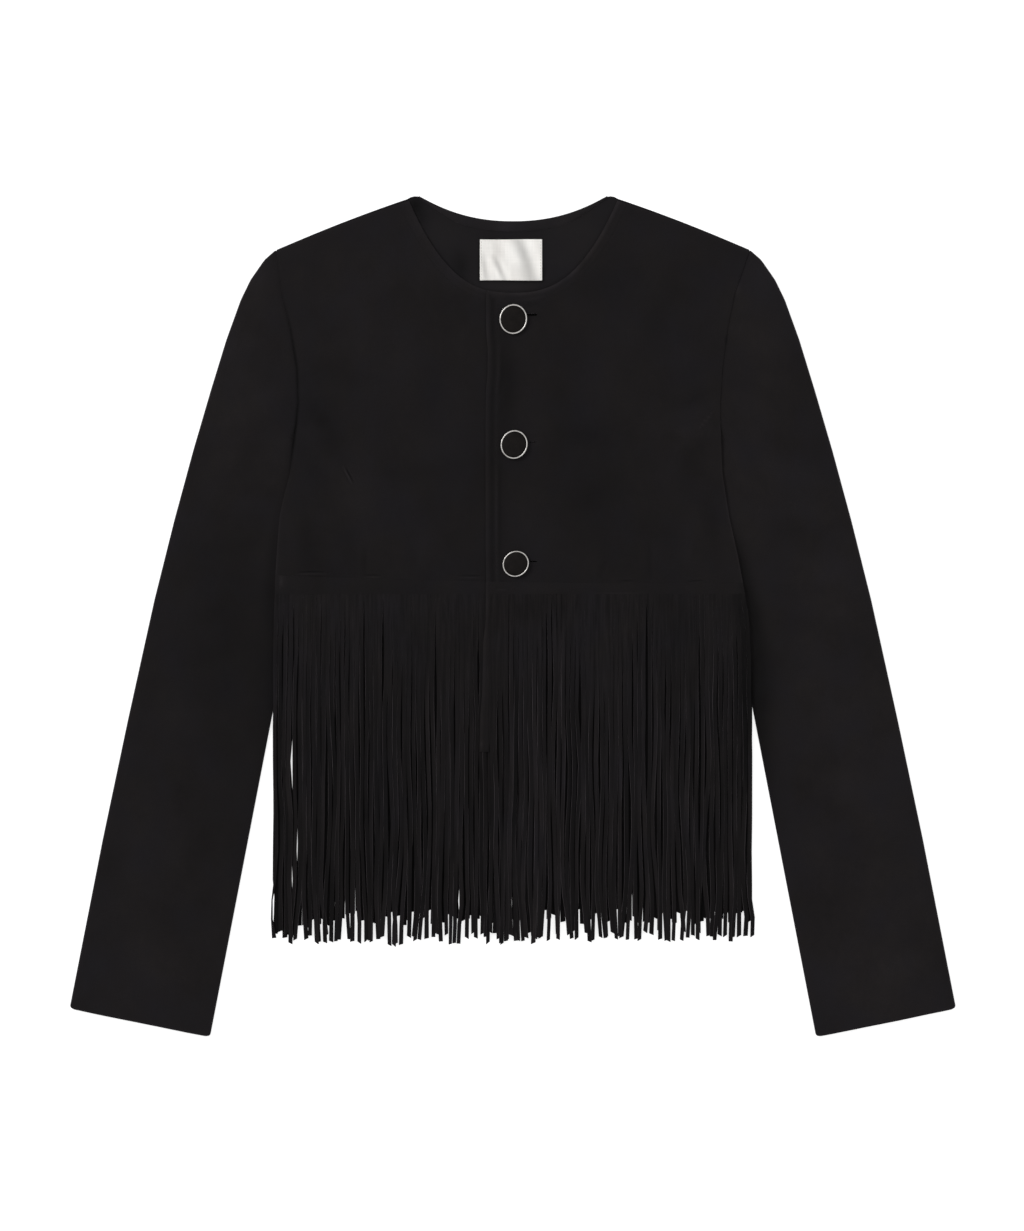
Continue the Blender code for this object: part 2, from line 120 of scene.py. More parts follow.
def graded(
    length: float, fine: float, coarse: float, near: float, far: float, spots: tuple = ()
) -> Array:
    """Return shares from 0 to 1 along a length, closer set at both ends.

    Args:
        length: the length in millimetres.
        fine: the step at the ends and at the spots.
        coarse: the step elsewhere.
        near: how far from the start the step stays fine.
        far: how far from the end the step stays fine.
        spots: pairs of a place and a reach where the step is fine too.

    Returns:
        The shares, starting at 0 and ending at 1.
    """
    places = [0.0]
    while places[-1] < length:
        here = places[-1]
        away = [here / near, (length - here) / far]
        away += [abs(here - place) / reach for place, reach in spots]
        share = min(1.0, max(0.0, (min(away) - 1.0) / 1.2))
        places.append(here + fine + (coarse - fine) * share)
    return np.array(places) / places[-1]


class Ripple:
    """A smooth unevenness made of a few crossing waves; about 1 high at most."""

    def __init__(self, seed: int, across: float, along: float, waves: int = 16) -> None:
        """Draw the waves.

        Args:
            seed: the seed of the draw.
            across: the usual wavelength along X.
            along: the usual wavelength along Y.
            waves: how many waves cross.
        """
        draw = np.random.default_rng(seed)
        turn = draw.uniform(0.0, 2.0 * pi, waves)
        size = draw.uniform(0.7, 1.5, waves)
        self.kx = 2.0 * pi / across * np.cos(turn) * size
        self.ky = 2.0 * pi / along * np.sin(turn) * size
        self.phase = draw.uniform(0.0, 2.0 * pi, waves)

    def __call__(self, x: Array, y: Array) -> Array:
        """Return the unevenness at points."""
        waves = (np.cos(kx * x + ky * y + phase) for kx, ky, phase in zip(self.kx, self.ky, self.phase))
        return sum(waves, np.zeros(np.broadcast(x, y).shape)) / sqrt(len(self.kx) * 1.6)


class Edge:
    """A line on the laid cloth, such as a cut edge or a row of stitches."""

    def __init__(self, points: Array) -> None:
        """Keep the points and how far along the line each lies.

        Args:
            points: rows of x and y.
        """
        self.points = np.asarray(points, float)
        steps = np.diff(self.points, axis=0)
        self.reach = np.concatenate([[0.0], np.cumsum(np.hypot(steps[:, 0], steps[:, 1]))])
        self.length = float(self.reach[-1])

    @classmethod
    def bent(cls, start: Point, middle: Point, end: Point, steps: int = 12) -> "Edge":
        """Return a line that bends towards its middle point.

        Args:
            start: where it starts.
            middle: the point that draws it aside.
            end: where it ends.
            steps: how many straight steps it has.

        Returns:
            The line.
        """
        share = np.linspace(0.0, 1.0, steps + 1)[:, None]
        a, b, c = np.array(start), np.array(middle), np.array(end)
        return cls((1 - share) ** 2 * a + 2 * share * (1 - share) * b + share**2 * c)

    def at(self, along: Array) -> tuple[Array, Array]:
        """Return the points at distances along the line."""
        x = np.interp(along, self.reach, self.points[:, 0])
        return x, np.interp(along, self.reach, self.points[:, 1])

    def heading(self, along: Array) -> tuple[Array, Array]:
        """Return the unit direction of the line at distances along it.

        Args:
            along: distances along the line.

        Returns:
            The direction along X and along Y.
        """
        ahead, behind = self.at(along + 0.5), self.at(along - 0.5)
        dx, dy = ahead[0] - behind[0], ahead[1] - behind[1]
        size = np.maximum(np.hypot(dx, dy), 1e-9)
        return dx / size, dy / size

    def beside(self, amount: float) -> "Edge":
        """Return the line moved to its left by an amount."""
        dx, dy = self.heading(np.clip(self.reach, 0.5, self.length - 0.5))
        return Edge(self.points + amount * np.stack([-dy, dx], axis=1))

    def nearest(self, x: Array, y: Array) -> tuple[Array, Array]:
        """Return the distance to the line, and how far along it the nearest point is.

        Args:
            x: places across.
            y: places along.

        Returns:
            The distance to the line, and the distance along it.
        """
        best = np.full(np.shape(x), 1e9)
        along = np.zeros(np.shape(x))
        for (ax, ay), (bx, by), start in zip(self.points, self.points[1:], self.reach):
            dx, dy = bx - ax, by - ay
            size = max(dx * dx + dy * dy, 1e-12)
            share = np.clip(((x - ax) * dx + (y - ay) * dy) / size, 0.0, 1.0)
            away = np.hypot(x - ax - share * dx, y - ay - share * dy)
            closer = away < best
            best = np.where(closer, away, best)
            along = np.where(closer, start + share * sqrt(size), along)
        return best, along

    def away(self, x: Array, y: Array) -> Array:
        """Return the distance to the line."""
        return self.nearest(x, y)[0]


@dataclass(frozen=True)
class Crease:
    """A soft trough or ridge in the cloth, with low shoulders, fading at its ends."""

    start: Point
    middle: Point
    end: Point
    width: float
    height: float

    def raised(self, x: Array, y: Array) -> Array:
        """Return how far the crease raises the cloth; a trough lowers it.

        Args:
            x: places across.
            y: places along.

        Returns:
            The height.
        """
        line = Edge.bent(self.start, self.middle, self.end)
        away, along = line.nearest(x, y)
        fade = np.sin(pi * np.clip(along / line.length, 0.0, 1.0)) ** 0.8
        reach = away / self.width
        shape = np.exp(-(reach**2)) - 0.3 * np.exp(-((reach - 1.9) ** 2))
        return self.height * fade * shape


def creased(creases: tuple[Crease, ...], x: Array, y: Array) -> Array:
    """Return the sum of some creases."""
    return sum((crease.raised(x, y) for crease in creases), np.zeros(np.shape(x)))


@dataclass(frozen=True)
class Cloud:
    """A patch painted darker or lighter: nap that lies differently, and painted shade and painted light.
    """

    x: float
    y: float
    half_width: float
    half_height: float
    amount: float

    def toned(self, x: Array, y: Array) -> Array:
        """Return the tone that the patch gives."""
        return self.amount * bump(x, self.x, self.half_width) * bump(y, self.y, self.half_height)


def clouded(clouds: tuple[Cloud, ...], x: Array, y: Array) -> Array:
    """Return the tone that some clouds give, above 0 where it is lighter."""
    return sum((cloud.toned(x, y) for cloud in clouds), np.zeros(np.shape(x)))


def creases_of(*rows: tuple) -> tuple[Crease, ...]:
    """Return creases from rows of the start, middle and end (x, y), the width and the height."""
    return tuple(Crease(row[0:2], row[2:4], row[4:6], row[6], row[7]) for row in rows)


def clouds_of(*rows: tuple) -> tuple[Cloud, ...]:
    """Return clouds from rows of x, y, half width, half height and amount."""
    return tuple(Cloud(*row) for row in rows)


# ------------------------------------------------------------ outlines and heights


@dataclass(frozen=True)
class Pattern:
    """Outlines of the jacket as it lies."""

    neck_half: float = 88.4
    neck_peak_y: float = 355.1
    neck_peak_bow: float = 1.3
    back_neck_half: float = 77.0
    back_neck_y: float = 336.0
    back_neck_curve: float = 0.001404
    back_neck_power: float = 2.2
    front_neck_y: float = 274.5
    front_neck_depth: float = 78.5
    front_neck_power: float = 2.58
    shoulder_half: float = 200.8
    shoulder_y: float = 311.4
    shoulder_bow: float = 1.6
    waist_middle_y: float = 31.8
    waist_drop: float = 2.5
    waist_tilt: float = -0.0165
    waist_bow: float = 0.00006
    fringe_y: float = -272.0
    back_fringe_y: float = -252.0
    armpit_y: float = 165.0
    lap_edge_x: float = -22.9
    label_size: Point = (52.8, 34.8)
    label_centre: Point = (-1.75, 302.9)
    underlap_edge_x: float = 23.0
    edge_steps: int = 36
    edge_drift: tuple = (
        (274.5, 0), (242, 0), (227, 1.3), (207, 1.3), (196, 0.2), (184, -0.4), (130, -0.5), (60, -0.4),
        (29, 0),
    )
    sides: tuple = (
        (311.4, -200.8, 200.8), (300, -199.6, 197), (275, -196.6, 188.2), (246, -189.3, 182.2),
        (211, -183.4, 177.7), (182, -182.6, 176), (165, -184.1, 176.1), (150, -185.8, 176.4),
        (122, -189.2, 177.5), (100, -195, 180.9), (84, -198.3, 183.5), (50, -200.7, 191),
        (31.8, -201.8, 194.4), (0, -202.8, 200.2), (-30, -203.2, 202.4), (-80, -203.6, 202.9),
        (-155, -203.6, 202.7), (-272, -204.4, 203.3),
    )

    def side_x(self, y: Array, side: Side) -> Array:
        """Return where the body ends at y on one side."""
        return read(self.sides, y, 2 if side is Side.RIGHT else 1)

    def inward(self, x: Array, y: Array) -> Array:
        """Return how far in from the nearer side of the body a point lies."""
        return np.where(x > 0, self.side_x(y, Side.RIGHT) - x, x - self.side_x(y, Side.LEFT))

    def waist_y(self, x: Array) -> Array:
        """Return the height of the waist seam at x."""
        return self.waist_middle_y - self.waist_drop + self.waist_tilt * x + self.waist_bow * x**2

    def front_neck(self, x: Array) -> Array:
        """Return the front neckline at x."""
        share = np.abs(x) / self.neck_half
        return self.front_neck_y + self.front_neck_depth * share**self.front_neck_power

    def back_neck(self, x: Array) -> Array:
        """Return the back neckline at x."""
        return self.back_neck_y + self.back_neck_curve * np.abs(x) ** self.back_neck_power

    def shoulder(self, x: Array) -> Array:
        """Return the shoulder line at x, which bows up a little between its ends.

        Args:
            x: places across.

        Returns:
            Its y.
        """
        share = (np.abs(x) - self.neck_half) / (self.shoulder_half - self.neck_half)
        straight = self.neck_peak_y + share * (self.shoulder_y - self.neck_peak_y)
        return straight + self.shoulder_bow * np.sin(pi * np.clip(share, 0.0, 1.0)) ** 0.75

    def back_top(self, x: Array) -> Array:
        """Return the upper edge of the back at x.

        Args:
            x: places across.

        Returns:
            Its y, on the neck or on the shoulder.
        """
        neck = self.back_neck(np.minimum(np.abs(x), self.back_neck_half))
        reach = self.neck_half - self.back_neck_half
        peak = np.clip((np.abs(x) - self.back_neck_half) / reach, 0.0, 1.0)
        neck = neck + self.neck_peak_bow * np.sin(pi * peak)
        return np.where(np.abs(x) < self.neck_half, neck, self.shoulder(x))

    def front_edge(self, side: Side, opening_x: float) -> Edge:
        """Return a front's opening and neckline, from the waist to the neck peak.

        Args:
            side: which front.
            opening_x: where its opening runs.

        Returns:
            The line.
        """
        shares = np.linspace(0.0, 1.0, 41)
        neck_x = opening_x + shares * (side.value * self.neck_half - opening_x)
        neck = np.stack([neck_x, self.front_neck(neck_x)], axis=1)
        low = float(self.waist_y(np.array(opening_x)))
        foot_y = np.linspace(low, self.front_neck_y, self.edge_steps, endpoint=False)
        foot = np.stack([opening_x + read(self.edge_drift, foot_y, 1), foot_y], axis=1)
        return Edge(np.concatenate([foot, neck]))

    def shoulder_edge(self, side: Side) -> Edge:
        """Return the shoulder line, from the neck peak outwards."""
        xs = np.linspace(self.neck_half, self.shoulder_half, 9) * side.value
        return Edge(np.stack([xs, self.shoulder(xs)], axis=1))


PATTERN = Pattern()


@dataclass(frozen=True)
class Lay:
    """How high the layers lie, as in the frame's solids."""

    body_rise: float = 3.2
    fringe_rise: float = 0.9
    neck_share: float = 0.6
    lift: float = 2.0 * PLY
    lift_flat: float = 18.0
    lift_ease: float = 34.0
    lift_top_ease: float = 15.0
    lift_end_ease: float = 75.0
    lap_rise: float = PLY + 0.3
    lap_ease: float = 26.0
    inner_fold_y: float = -81.0
    folds: tuple = (
        (252, 96, 150, 120, 44, 1), (272, -40, 22, 110, 46, 0.9), (312, -236, 64, 150, 48, 0.8),
        (-246, 120, 28, 110, 46, 0.9), (-276, -62, 158, 120, 44, 1), (-304, -214, 118, 140, 48, 0.8),
        (92, 205, 62, 150, 60, 0.9), (-96, 190, 116, 160, 60, 1),
    )

    def fold(self, x: Array, y: Array) -> Array:
        """Return how far the broad folds raise the cloth.

        Args:
            x: places across.
            y: places along.

        Returns:
            The height.
        """
        total = np.zeros(np.shape(x))
        for fold_x, fold_y, heading, length, width, height in self.folds:
            turn = radians(heading)
            along = (x - fold_x) * cos(turn) + (y - fold_y) * sin(turn)
            across = (y - fold_y) * cos(turn) - (x - fold_x) * sin(turn)
            reach = (2.0 * along / length) ** 2 + (2.0 * across / width) ** 2
            total += height * np.exp(-1.6 * reach)
        return total

    def lifted(self, x: Array, y: Array) -> Array:
        """Return how far a sleeve under the side of the body raises it.

        Args:
            x: places across.
            y: places along.

        Returns:
            The height.
        """
        across = 1.0 - ease(PATTERN.inward(x, y), self.lift_flat, self.lift_flat + self.lift_ease)
        armpit = PATTERN.armpit_y
        below = 1.0 - ease(y, armpit - self.lift_top_ease, armpit)
        above = ease(y, self.inner_fold_y - self.lift_end_ease, self.inner_fold_y)
        return self.lift * across * below * above

    def rise(self, x: Array, y: Array) -> Array:
        """Return the fullness of the front, least at its sides, neck and shoulders.

        Args:
            x: places across.
            y: places along.

        Returns:
            The height over a flat front, in millimetres.
        """
        across = ease(PATTERN.inward(x, y), 4.0, 90.0)
        under_shoulder = ease(PATTERN.shoulder(x) - y, 0.0, 80.0)
        skirt = ease(PATTERN.waist_middle_y - y, -6.0, 60.0)
        full = self.body_rise + (self.fringe_rise - self.body_rise) * skirt
        by_neck = ease(PATTERN.front_neck(x) - y, 0.0, 55.0)
        by_neck = self.neck_share + (1.0 - self.neck_share) * by_neck
        fold = self.fold(x, y) * (1.0 - skirt) * across * under_shoulder
        return full * across * under_shoulder * by_neck + 0.5 * fold

    def back(self, x: Array, y: Array) -> Array:
        """Return the underside of the back."""
        return self.lifted(x, y)

    def front(self, x: Array, y: Array) -> Array:
        """Return the underside of a front that lies on the back."""
        return PLY + self.lifted(x, y) + self.rise(x, y)

    def lapping(self, x: Array, y: Array) -> Array:
        """Return the underside of the right front, which laps over the left."""
        edge = PATTERN.underlap_edge_x + 1.0
        return self.front(x, y) + self.lap_rise * (1.0 - ease(x, edge, edge + self.lap_ease))


LAY = Lay()


# ------------------------------------------------------------------- finishes


class Nodes:
    """The nodes of one material, laid out as they are added."""

    def __init__(self, name: str) -> None:
        """Start a material with a Principled shader.

        Args:
            name: the material's name.
        """
        self.material = bpy.data.materials.new(name)
        self.material.use_nodes = True
        self.tree = self.material.node_tree
        self.shader = self.tree.nodes["Principled BSDF"]
        self.coordinates = self.tree.nodes.new("ShaderNodeTexCoord")

    def add(self, kind: str, settings: dict | None = None, **inputs: object) -> bpy.types.Node:
        """Add a node, with its settings, and its inputs as values or sockets.

        Args:
            kind: its type, without the common prefix.
            settings: its own properties.
            **inputs: its inputs by name.

        Returns:
            The node.
        """
        node = self.tree.nodes.new(f"ShaderNode{kind}")
        for key, value in (settings or {}).items():
            setattr(node, key, value)
        self.feed(node, inputs)
        return node

    def feed(self, node: bpy.types.Node, inputs: dict) -> None:
        """Link the inputs of a node to sockets, or give them values.

        Args:
            node: the node.
            inputs: sockets or values by name.
        """
        for key, value in inputs.items():
            socket = self.socket(node, key)
            if isinstance(value, Socket):
                self.tree.links.new(value, socket)
            else:
                socket.default_value = value

    def socket(self, node: bpy.types.Node, key: str) -> Socket:
        """Return an input named in lower case, or by its number as in_0.

        Args:
            node: the node.
            key: the name or the number.

        Returns:
            The input.
        """
        if key.startswith("in_"):
            return node.inputs[int(key[3:])]
        words = key.replace("_", " ").lower()
        return next(entry for entry in node.inputs if entry.name.lower() == words and entry.enabled)

    def noise(self, scale: float, detail: float, stretch: tuple = (1.0, 1.0, 1.0)) -> Socket:
        """Return a noise on the object's own coordinates."""
        place = self.add("Mapping", vector=self.coordinates.outputs["Object"], scale=stretch).outputs[0]
        return self.add("TexNoise", vector=place, scale=scale, detail=detail, roughness=0.6).outputs[0]

    def span(self, value: Socket, low: float, high: float) -> Socket:
        """Return a noise spread from low to high."""
        made = self.add("MapRange", value=value, from_min=0.3, from_max=0.7, to_min=low, to_max=high)
        return made.outputs[0]

    def maths(self, operation: str, a: object, b: object, c: object = 0.0) -> Socket:
        """Return the result of one operation on two or three values."""
        return self.add("Math", {"operation": operation}, in_0=a, in_1=b, in_2=c).outputs[0]

    def blend(self, share: object, first: object, second: object) -> Socket:
        """Return a colour between two colours."""
        return self.add("Mix", {"data_type": "RGBA"}, in_0=share, in_6=first, in_7=second).outputs[2]

    def lit(self, colour: Socket, value: Socket) -> Socket:
        """Return a colour with its brightness multiplied by a value."""
        return self.add("HueSaturation", value=value, color=colour).outputs[0]

    def bumped(self, height: Socket, strength: float, distance: float) -> Socket:
        """Return the normal of a surface with a fine height on it."""
        return self.add("Bump", strength=strength, distance=distance, height=height).outputs[0]

    def toned(self, colour: Socket, amount: float) -> Socket:
        """Return a colour made lighter or darker by the piece's tone attribute, which holds painted
        shade and highlights as well as rubbed nap.
        """
        tone = self.add("Attribute", {"attribute_name": TONE}).outputs["Fac"]
        return self.lit(colour, self.maths("MULTIPLY_ADD", tone, amount, 1.0))

    def shade(self, **inputs: object) -> bpy.types.Material:
        """Set or link the shader's own sockets, and return the material."""
        self.feed(self.shader, inputs)
        return self.material


@dataclass(frozen=True)
class Suede:
    """Napped suede: soft clouds where the nap lies differently, and a fine grain."""

    name: str
    dark: tuple = (0.0044, 0.0036, 0.0038, 1.0)
    light: tuple = (0.0092, 0.0078, 0.0080, 1.0)
    cool: tuple = (0.0066, 0.0059, 0.0075, 1.0)
    roughness: float = 0.92
    sheen: float = 0.22
    grain_depth: float = 0.35
    streak: float = 0.0

    def material(self) -> bpy.types.Material:
        """Return the material.

        Returns:
            The suede.
        """
        nodes = Nodes(self.name)
        cloud = nodes.noise(17.0, 3.0)
        nap = nodes.noise(170.0, 4.0, (1.0, 0.55, 1.0))
        grain = nodes.noise(1500.0, 3.0)
        mixed = nodes.maths("MULTIPLY_ADD", nap, 0.45, nodes.maths("MULTIPLY", cloud, 0.55))
        colour = nodes.blend(nodes.span(mixed, 0.0, 1.0), self.dark, self.light)
        tint = nodes.noise(24.0, 2.0, (1.0, 0.8, 1.0))
        colour = nodes.blend(nodes.span(tint, -0.3, 0.7), colour, self.cool)
        colour = nodes.lit(colour, nodes.span(grain, 0.82, 1.2))
        if self.streak > 0.0:
            along = nodes.noise(620.0, 2.0, (1.0, 0.035, 1.0))
            colour = nodes.lit(colour, nodes.span(along, 1.0 - self.streak, 1.0 + self.streak))
        height = nodes.maths("MULTIPLY_ADD", grain, 0.35, nodes.maths("MULTIPLY", nap, 0.65))
        return nodes.shade(
            base_color=nodes.toned(colour, 1.0),
            roughness=nodes.span(nap, self.roughness - 0.06, self.roughness + 0.05),
            specular_ior_level=0.12,
            sheen_weight=self.sheen,
            sheen_roughness=0.45,
            sheen_tint=(0.90, 0.80, 0.86, 1.0),
            normal=nodes.bumped(height, self.grain_depth, 0.0006),
        )


@dataclass(frozen=True)
class SatinRibbon:
    """Woven satin tape: a fine warp, with painted sheen in lighter and duller stretches across it."""

    name: str = "white_satin_ribbon"
    # the duller and brighter colours of the painted sheen
    dull: tuple = (0.80, 0.775, 0.74, 1.0)
    bright: tuple = (0.88, 0.865, 0.835, 1.0)

    def material(self) -> bpy.types.Material:
        """Return the material.

        Returns:
            The ribbon.
        """
        nodes = Nodes(self.name)
        sheen_sweep = nodes.noise(42.0, 2.0, (1.0, 0.6, 1.0))
        warp = nodes.noise(900.0, 2.0, (1.0, 0.06, 1.0))
        weft = nodes.noise(900.0, 2.0, (0.06, 1.0, 1.0))
        weave = nodes.maths("MULTIPLY_ADD", weft, 0.4, nodes.maths("MULTIPLY", warp, 0.6))
        # painted sheen: broad lighter and duller stretches across the satin
        colour = nodes.blend(nodes.span(sheen_sweep, 0.0, 1.0), self.dull, self.bright)
        colour = nodes.lit(colour, nodes.span(weave, 0.93, 1.05))
        return nodes.shade(
            base_color=nodes.toned(colour, 1.0),
            roughness=nodes.span(weave, 0.38, 0.52),
            specular_ior_level=0.45,
            normal=nodes.bumped(weave, 0.25, 0.0002),
        )


@dataclass(frozen=True)
class Grained:
    """A plain finish whose colour drifts between two, with a fine grain in its surface.

    The drift and the grain are noises: a scale, a detail, and how it is stretched.
    """

    name: str
    dark: tuple
    light: tuple
    drift: tuple
    grain: tuple
    depth: float
    roughness: Point
    specular: float = 0.5
    metallic: float = 0.0
    sheen: float = 0.0

    def material(self) -> bpy.types.Material:
        """Return the material.

        Returns:
            The finish.
        """
        nodes = Nodes(self.name)
        grain = nodes.noise(*self.grain)
        drift = nodes.span(nodes.noise(*self.drift), 0.0, 1.0)
        return nodes.shade(
            base_color=nodes.blend(drift, self.dark, self.light),
            metallic=self.metallic,
            roughness=nodes.span(grain, *self.roughness),
            specular_ior_level=self.specular,
            sheen_weight=self.sheen,
            normal=nodes.bumped(grain, self.depth, 0.0001),
        )


METAL = Grained(
    "polished_button_metal",
    dark=(0.40, 0.382, 0.362, 1.0),
    light=(0.60, 0.582, 0.56, 1.0),
    drift=(260.0, 3.0),
    grain=(700.0, 4.0, (1.0, 0.2, 1.0)),
    depth=0.08,
    roughness=(0.28, 0.42),
    metallic=1.0,
)
ENAMEL = Grained(
    "black_button_enamel",
    dark=(0.0036, 0.0026, 0.0023, 1.0),
    light=(0.0064, 0.0048, 0.0043, 1.0),
    drift=(180.0, 3.0),
    grain=(2400.0, 3.0),
    depth=0.12,
    roughness=(0.5, 0.66),
    specular=0.08,
)
THREAD = Grained(
    "black_thread",
    dark=(0.0050, 0.0044, 0.0046, 1.0),
    light=(0.0090, 0.0080, 0.0084, 1.0),
    drift=(2600.0, 2.0, (1.0, 1.0, 0.4)),
    grain=(2600.0, 2.0, (1.0, 1.0, 0.4)),
    depth=0.3,
    roughness=(0.7, 0.9),
    specular=0.1,
    sheen=0.04,
)


class Finishes:
    """Every finish of the jacket, made once."""

    def __init__(self) -> None:
        """Make the materials."""
        self.suede = Suede("black_suede").material()
        self.strands = Suede("suede_strands", streak=0.4).material()
        self.inside = Suede(
            "suede_inside",
            dark=(0.0052, 0.0044, 0.0049, 1.0),
            light=(0.0092, 0.0080, 0.0086, 1.0),
            roughness=0.86,
            sheen=0.15,
            grain_depth=0.25,
        ).material()
        self.ribbon = SatinRibbon().material()
        self.metal = METAL.material()
        self.enamel = ENAMEL.material()
        self.thread = THREAD.material()
        pale = {"dark": (0.55, 0.53, 0.49, 1.0), "light": (0.72, 0.70, 0.66, 1.0)}
        self.label_thread = replace(THREAD, name="label_thread", **pale).material()


# ------------------------------------------------------------------ mesh making


def coordinates(verts: list) -> Points:
    """Return the coordinates of some vertices as three arrays."""
    points = np.array([vert.co for vert in verts])
    return points[:, 0], points[:, 1], points[:, 2]


def move(verts: list, x: Array, y: Array, z: Array) -> None:
    """Move vertices to new coordinates."""
    for vert, place in zip(verts, np.stack([x, y, z], axis=1)):
        vert.co = place


def as_data(name: str, mesh: Draft) -> bpy.types.Mesh:
    """Turn a draft into mesh data, and free the draft.

    Args:
        name: the name of the data.
        mesh: the draft.

    Returns:
        The data.
    """
    data = bpy.data.meshes.new(name)
    mesh.to_mesh(data)
    mesh.free()
    return data


def linked(name: str, data: bpy.types.ID) -> Piece:
    """Return a new object that shows some data, linked to the scene.

    Args:
        name: the object's name.
        data: what it shows.

    Returns:
        The object.
    """
    made = bpy.data.objects.new(name, data)
    bpy.context.scene.collection.objects.link(made)
    return made


def laid_grid(columns: Array, rows: Array, place: Place) -> Draft:
    """Make a grid and lay each of its points where a function says.

    Args:
        columns: shares across, from 0 to 1.
        rows: shares along, from 0 to 1.
        place: turns shares across and along into coordinates.

    Returns:
        The laid mesh.
    """
    mesh = bmesh.new()
    across, along = len(columns) - 1, len(rows) - 1
    bmesh.ops.create_grid(mesh, x_segments=across, y_segments=along, size=0.5)
    x, y, _ = coordinates(mesh.verts[:])
    u = columns[np.rint((x + 0.5) * across).astype(int)]
    v = rows[np.rint((y + 0.5) * along).astype(int)]
    move(mesh.verts[:], *place(u, v))
    return mesh


def add_wall(mesh: Draft, wall: float, floor: Height) -> None:
    """Give a laid sheet its wall downwards, never below a floor under it.

    Args:
        mesh: the laid sheet.
        wall: its thickness.
        floor: the height that it lies on.
    """
    raised = bmesh.ops.extrude_face_region(mesh, geom=mesh.faces[:], use_keep_orig=True)
    under = [item for item in raised["geom"] if isinstance(item, bmesh.types.BMVert)]
    x, y, z = coordinates(under)
    move(under, x, y, np.minimum(z - LEAST_WALL, np.maximum(z - wall, floor(x, y))))


def finished(
    name: str, mesh: Draft, material: bpy.types.Material, tone: Height | None = None
) -> Piece:
    """Turn a mesh in millimetres into a piece in metres.

    Args:
        name: the piece's name.
        mesh: the mesh, which is freed.
        material: its finish.
        tone: how much lighter (up to 1) or darker (down to -1) a point is.

    Returns:
        The piece, linked to the scene.
    """
    bmesh.ops.recalc_face_normals(mesh, faces=mesh.faces)
    tones = np.zeros(len(mesh.verts))
    if tone is not None:
        x, y, _ = coordinates(mesh.verts[:])
        tones = tone(x, y)
    layer = mesh.verts.layers.float.get(TONE)
    if layer is None:
        layer = mesh.verts.layers.float.new(TONE)
    for vert, value in zip(mesh.verts, tones):
        vert[layer] += float(value)
    bmesh.ops.scale(mesh, vec=(SCALE, SCALE, SCALE), verts=mesh.verts)
    data = as_data(name, mesh)
    data.materials.append(material)
    data.shade_smooth()
    data.set_sharp_from_angle(angle=radians(SHARP_ANGLE))
    return linked(name, data)


def keep(piece: Piece, slot: Slot, *nodes: str) -> Piece:
    """Ride a piece on the body, and let it stand for its nodes, which it hides.

    Args:
        piece: the piece.
        slot: its material slot; not used.
        *nodes: the nodes that it stands for.

    Returns:
        The piece.
    """
    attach(piece, ROOT)
    if nodes:
        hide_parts(*nodes)
    LOG.info("%s: %d faces", piece.name, len(piece.data.polygons))
    return piece


# -------------------------------------------------------------------- the body

UNEVEN_BROAD = Ripple(11, 62.0, 70.0)
UNEVEN_SMALL = Ripple(12, 24.0, 27.0)
UNEVEN_FINE = Ripple(13, 9.0, 10.0)


def uneven(x: Array, y: Array) -> Array:
    """Return the unevenness of suede that has been worn and laid down again."""
    return 0.42 * UNEVEN_BROAD(x, y) + 0.13 * UNEVEN_SMALL(x, y) + 0.03 * UNEVEN_FINE(x, y)


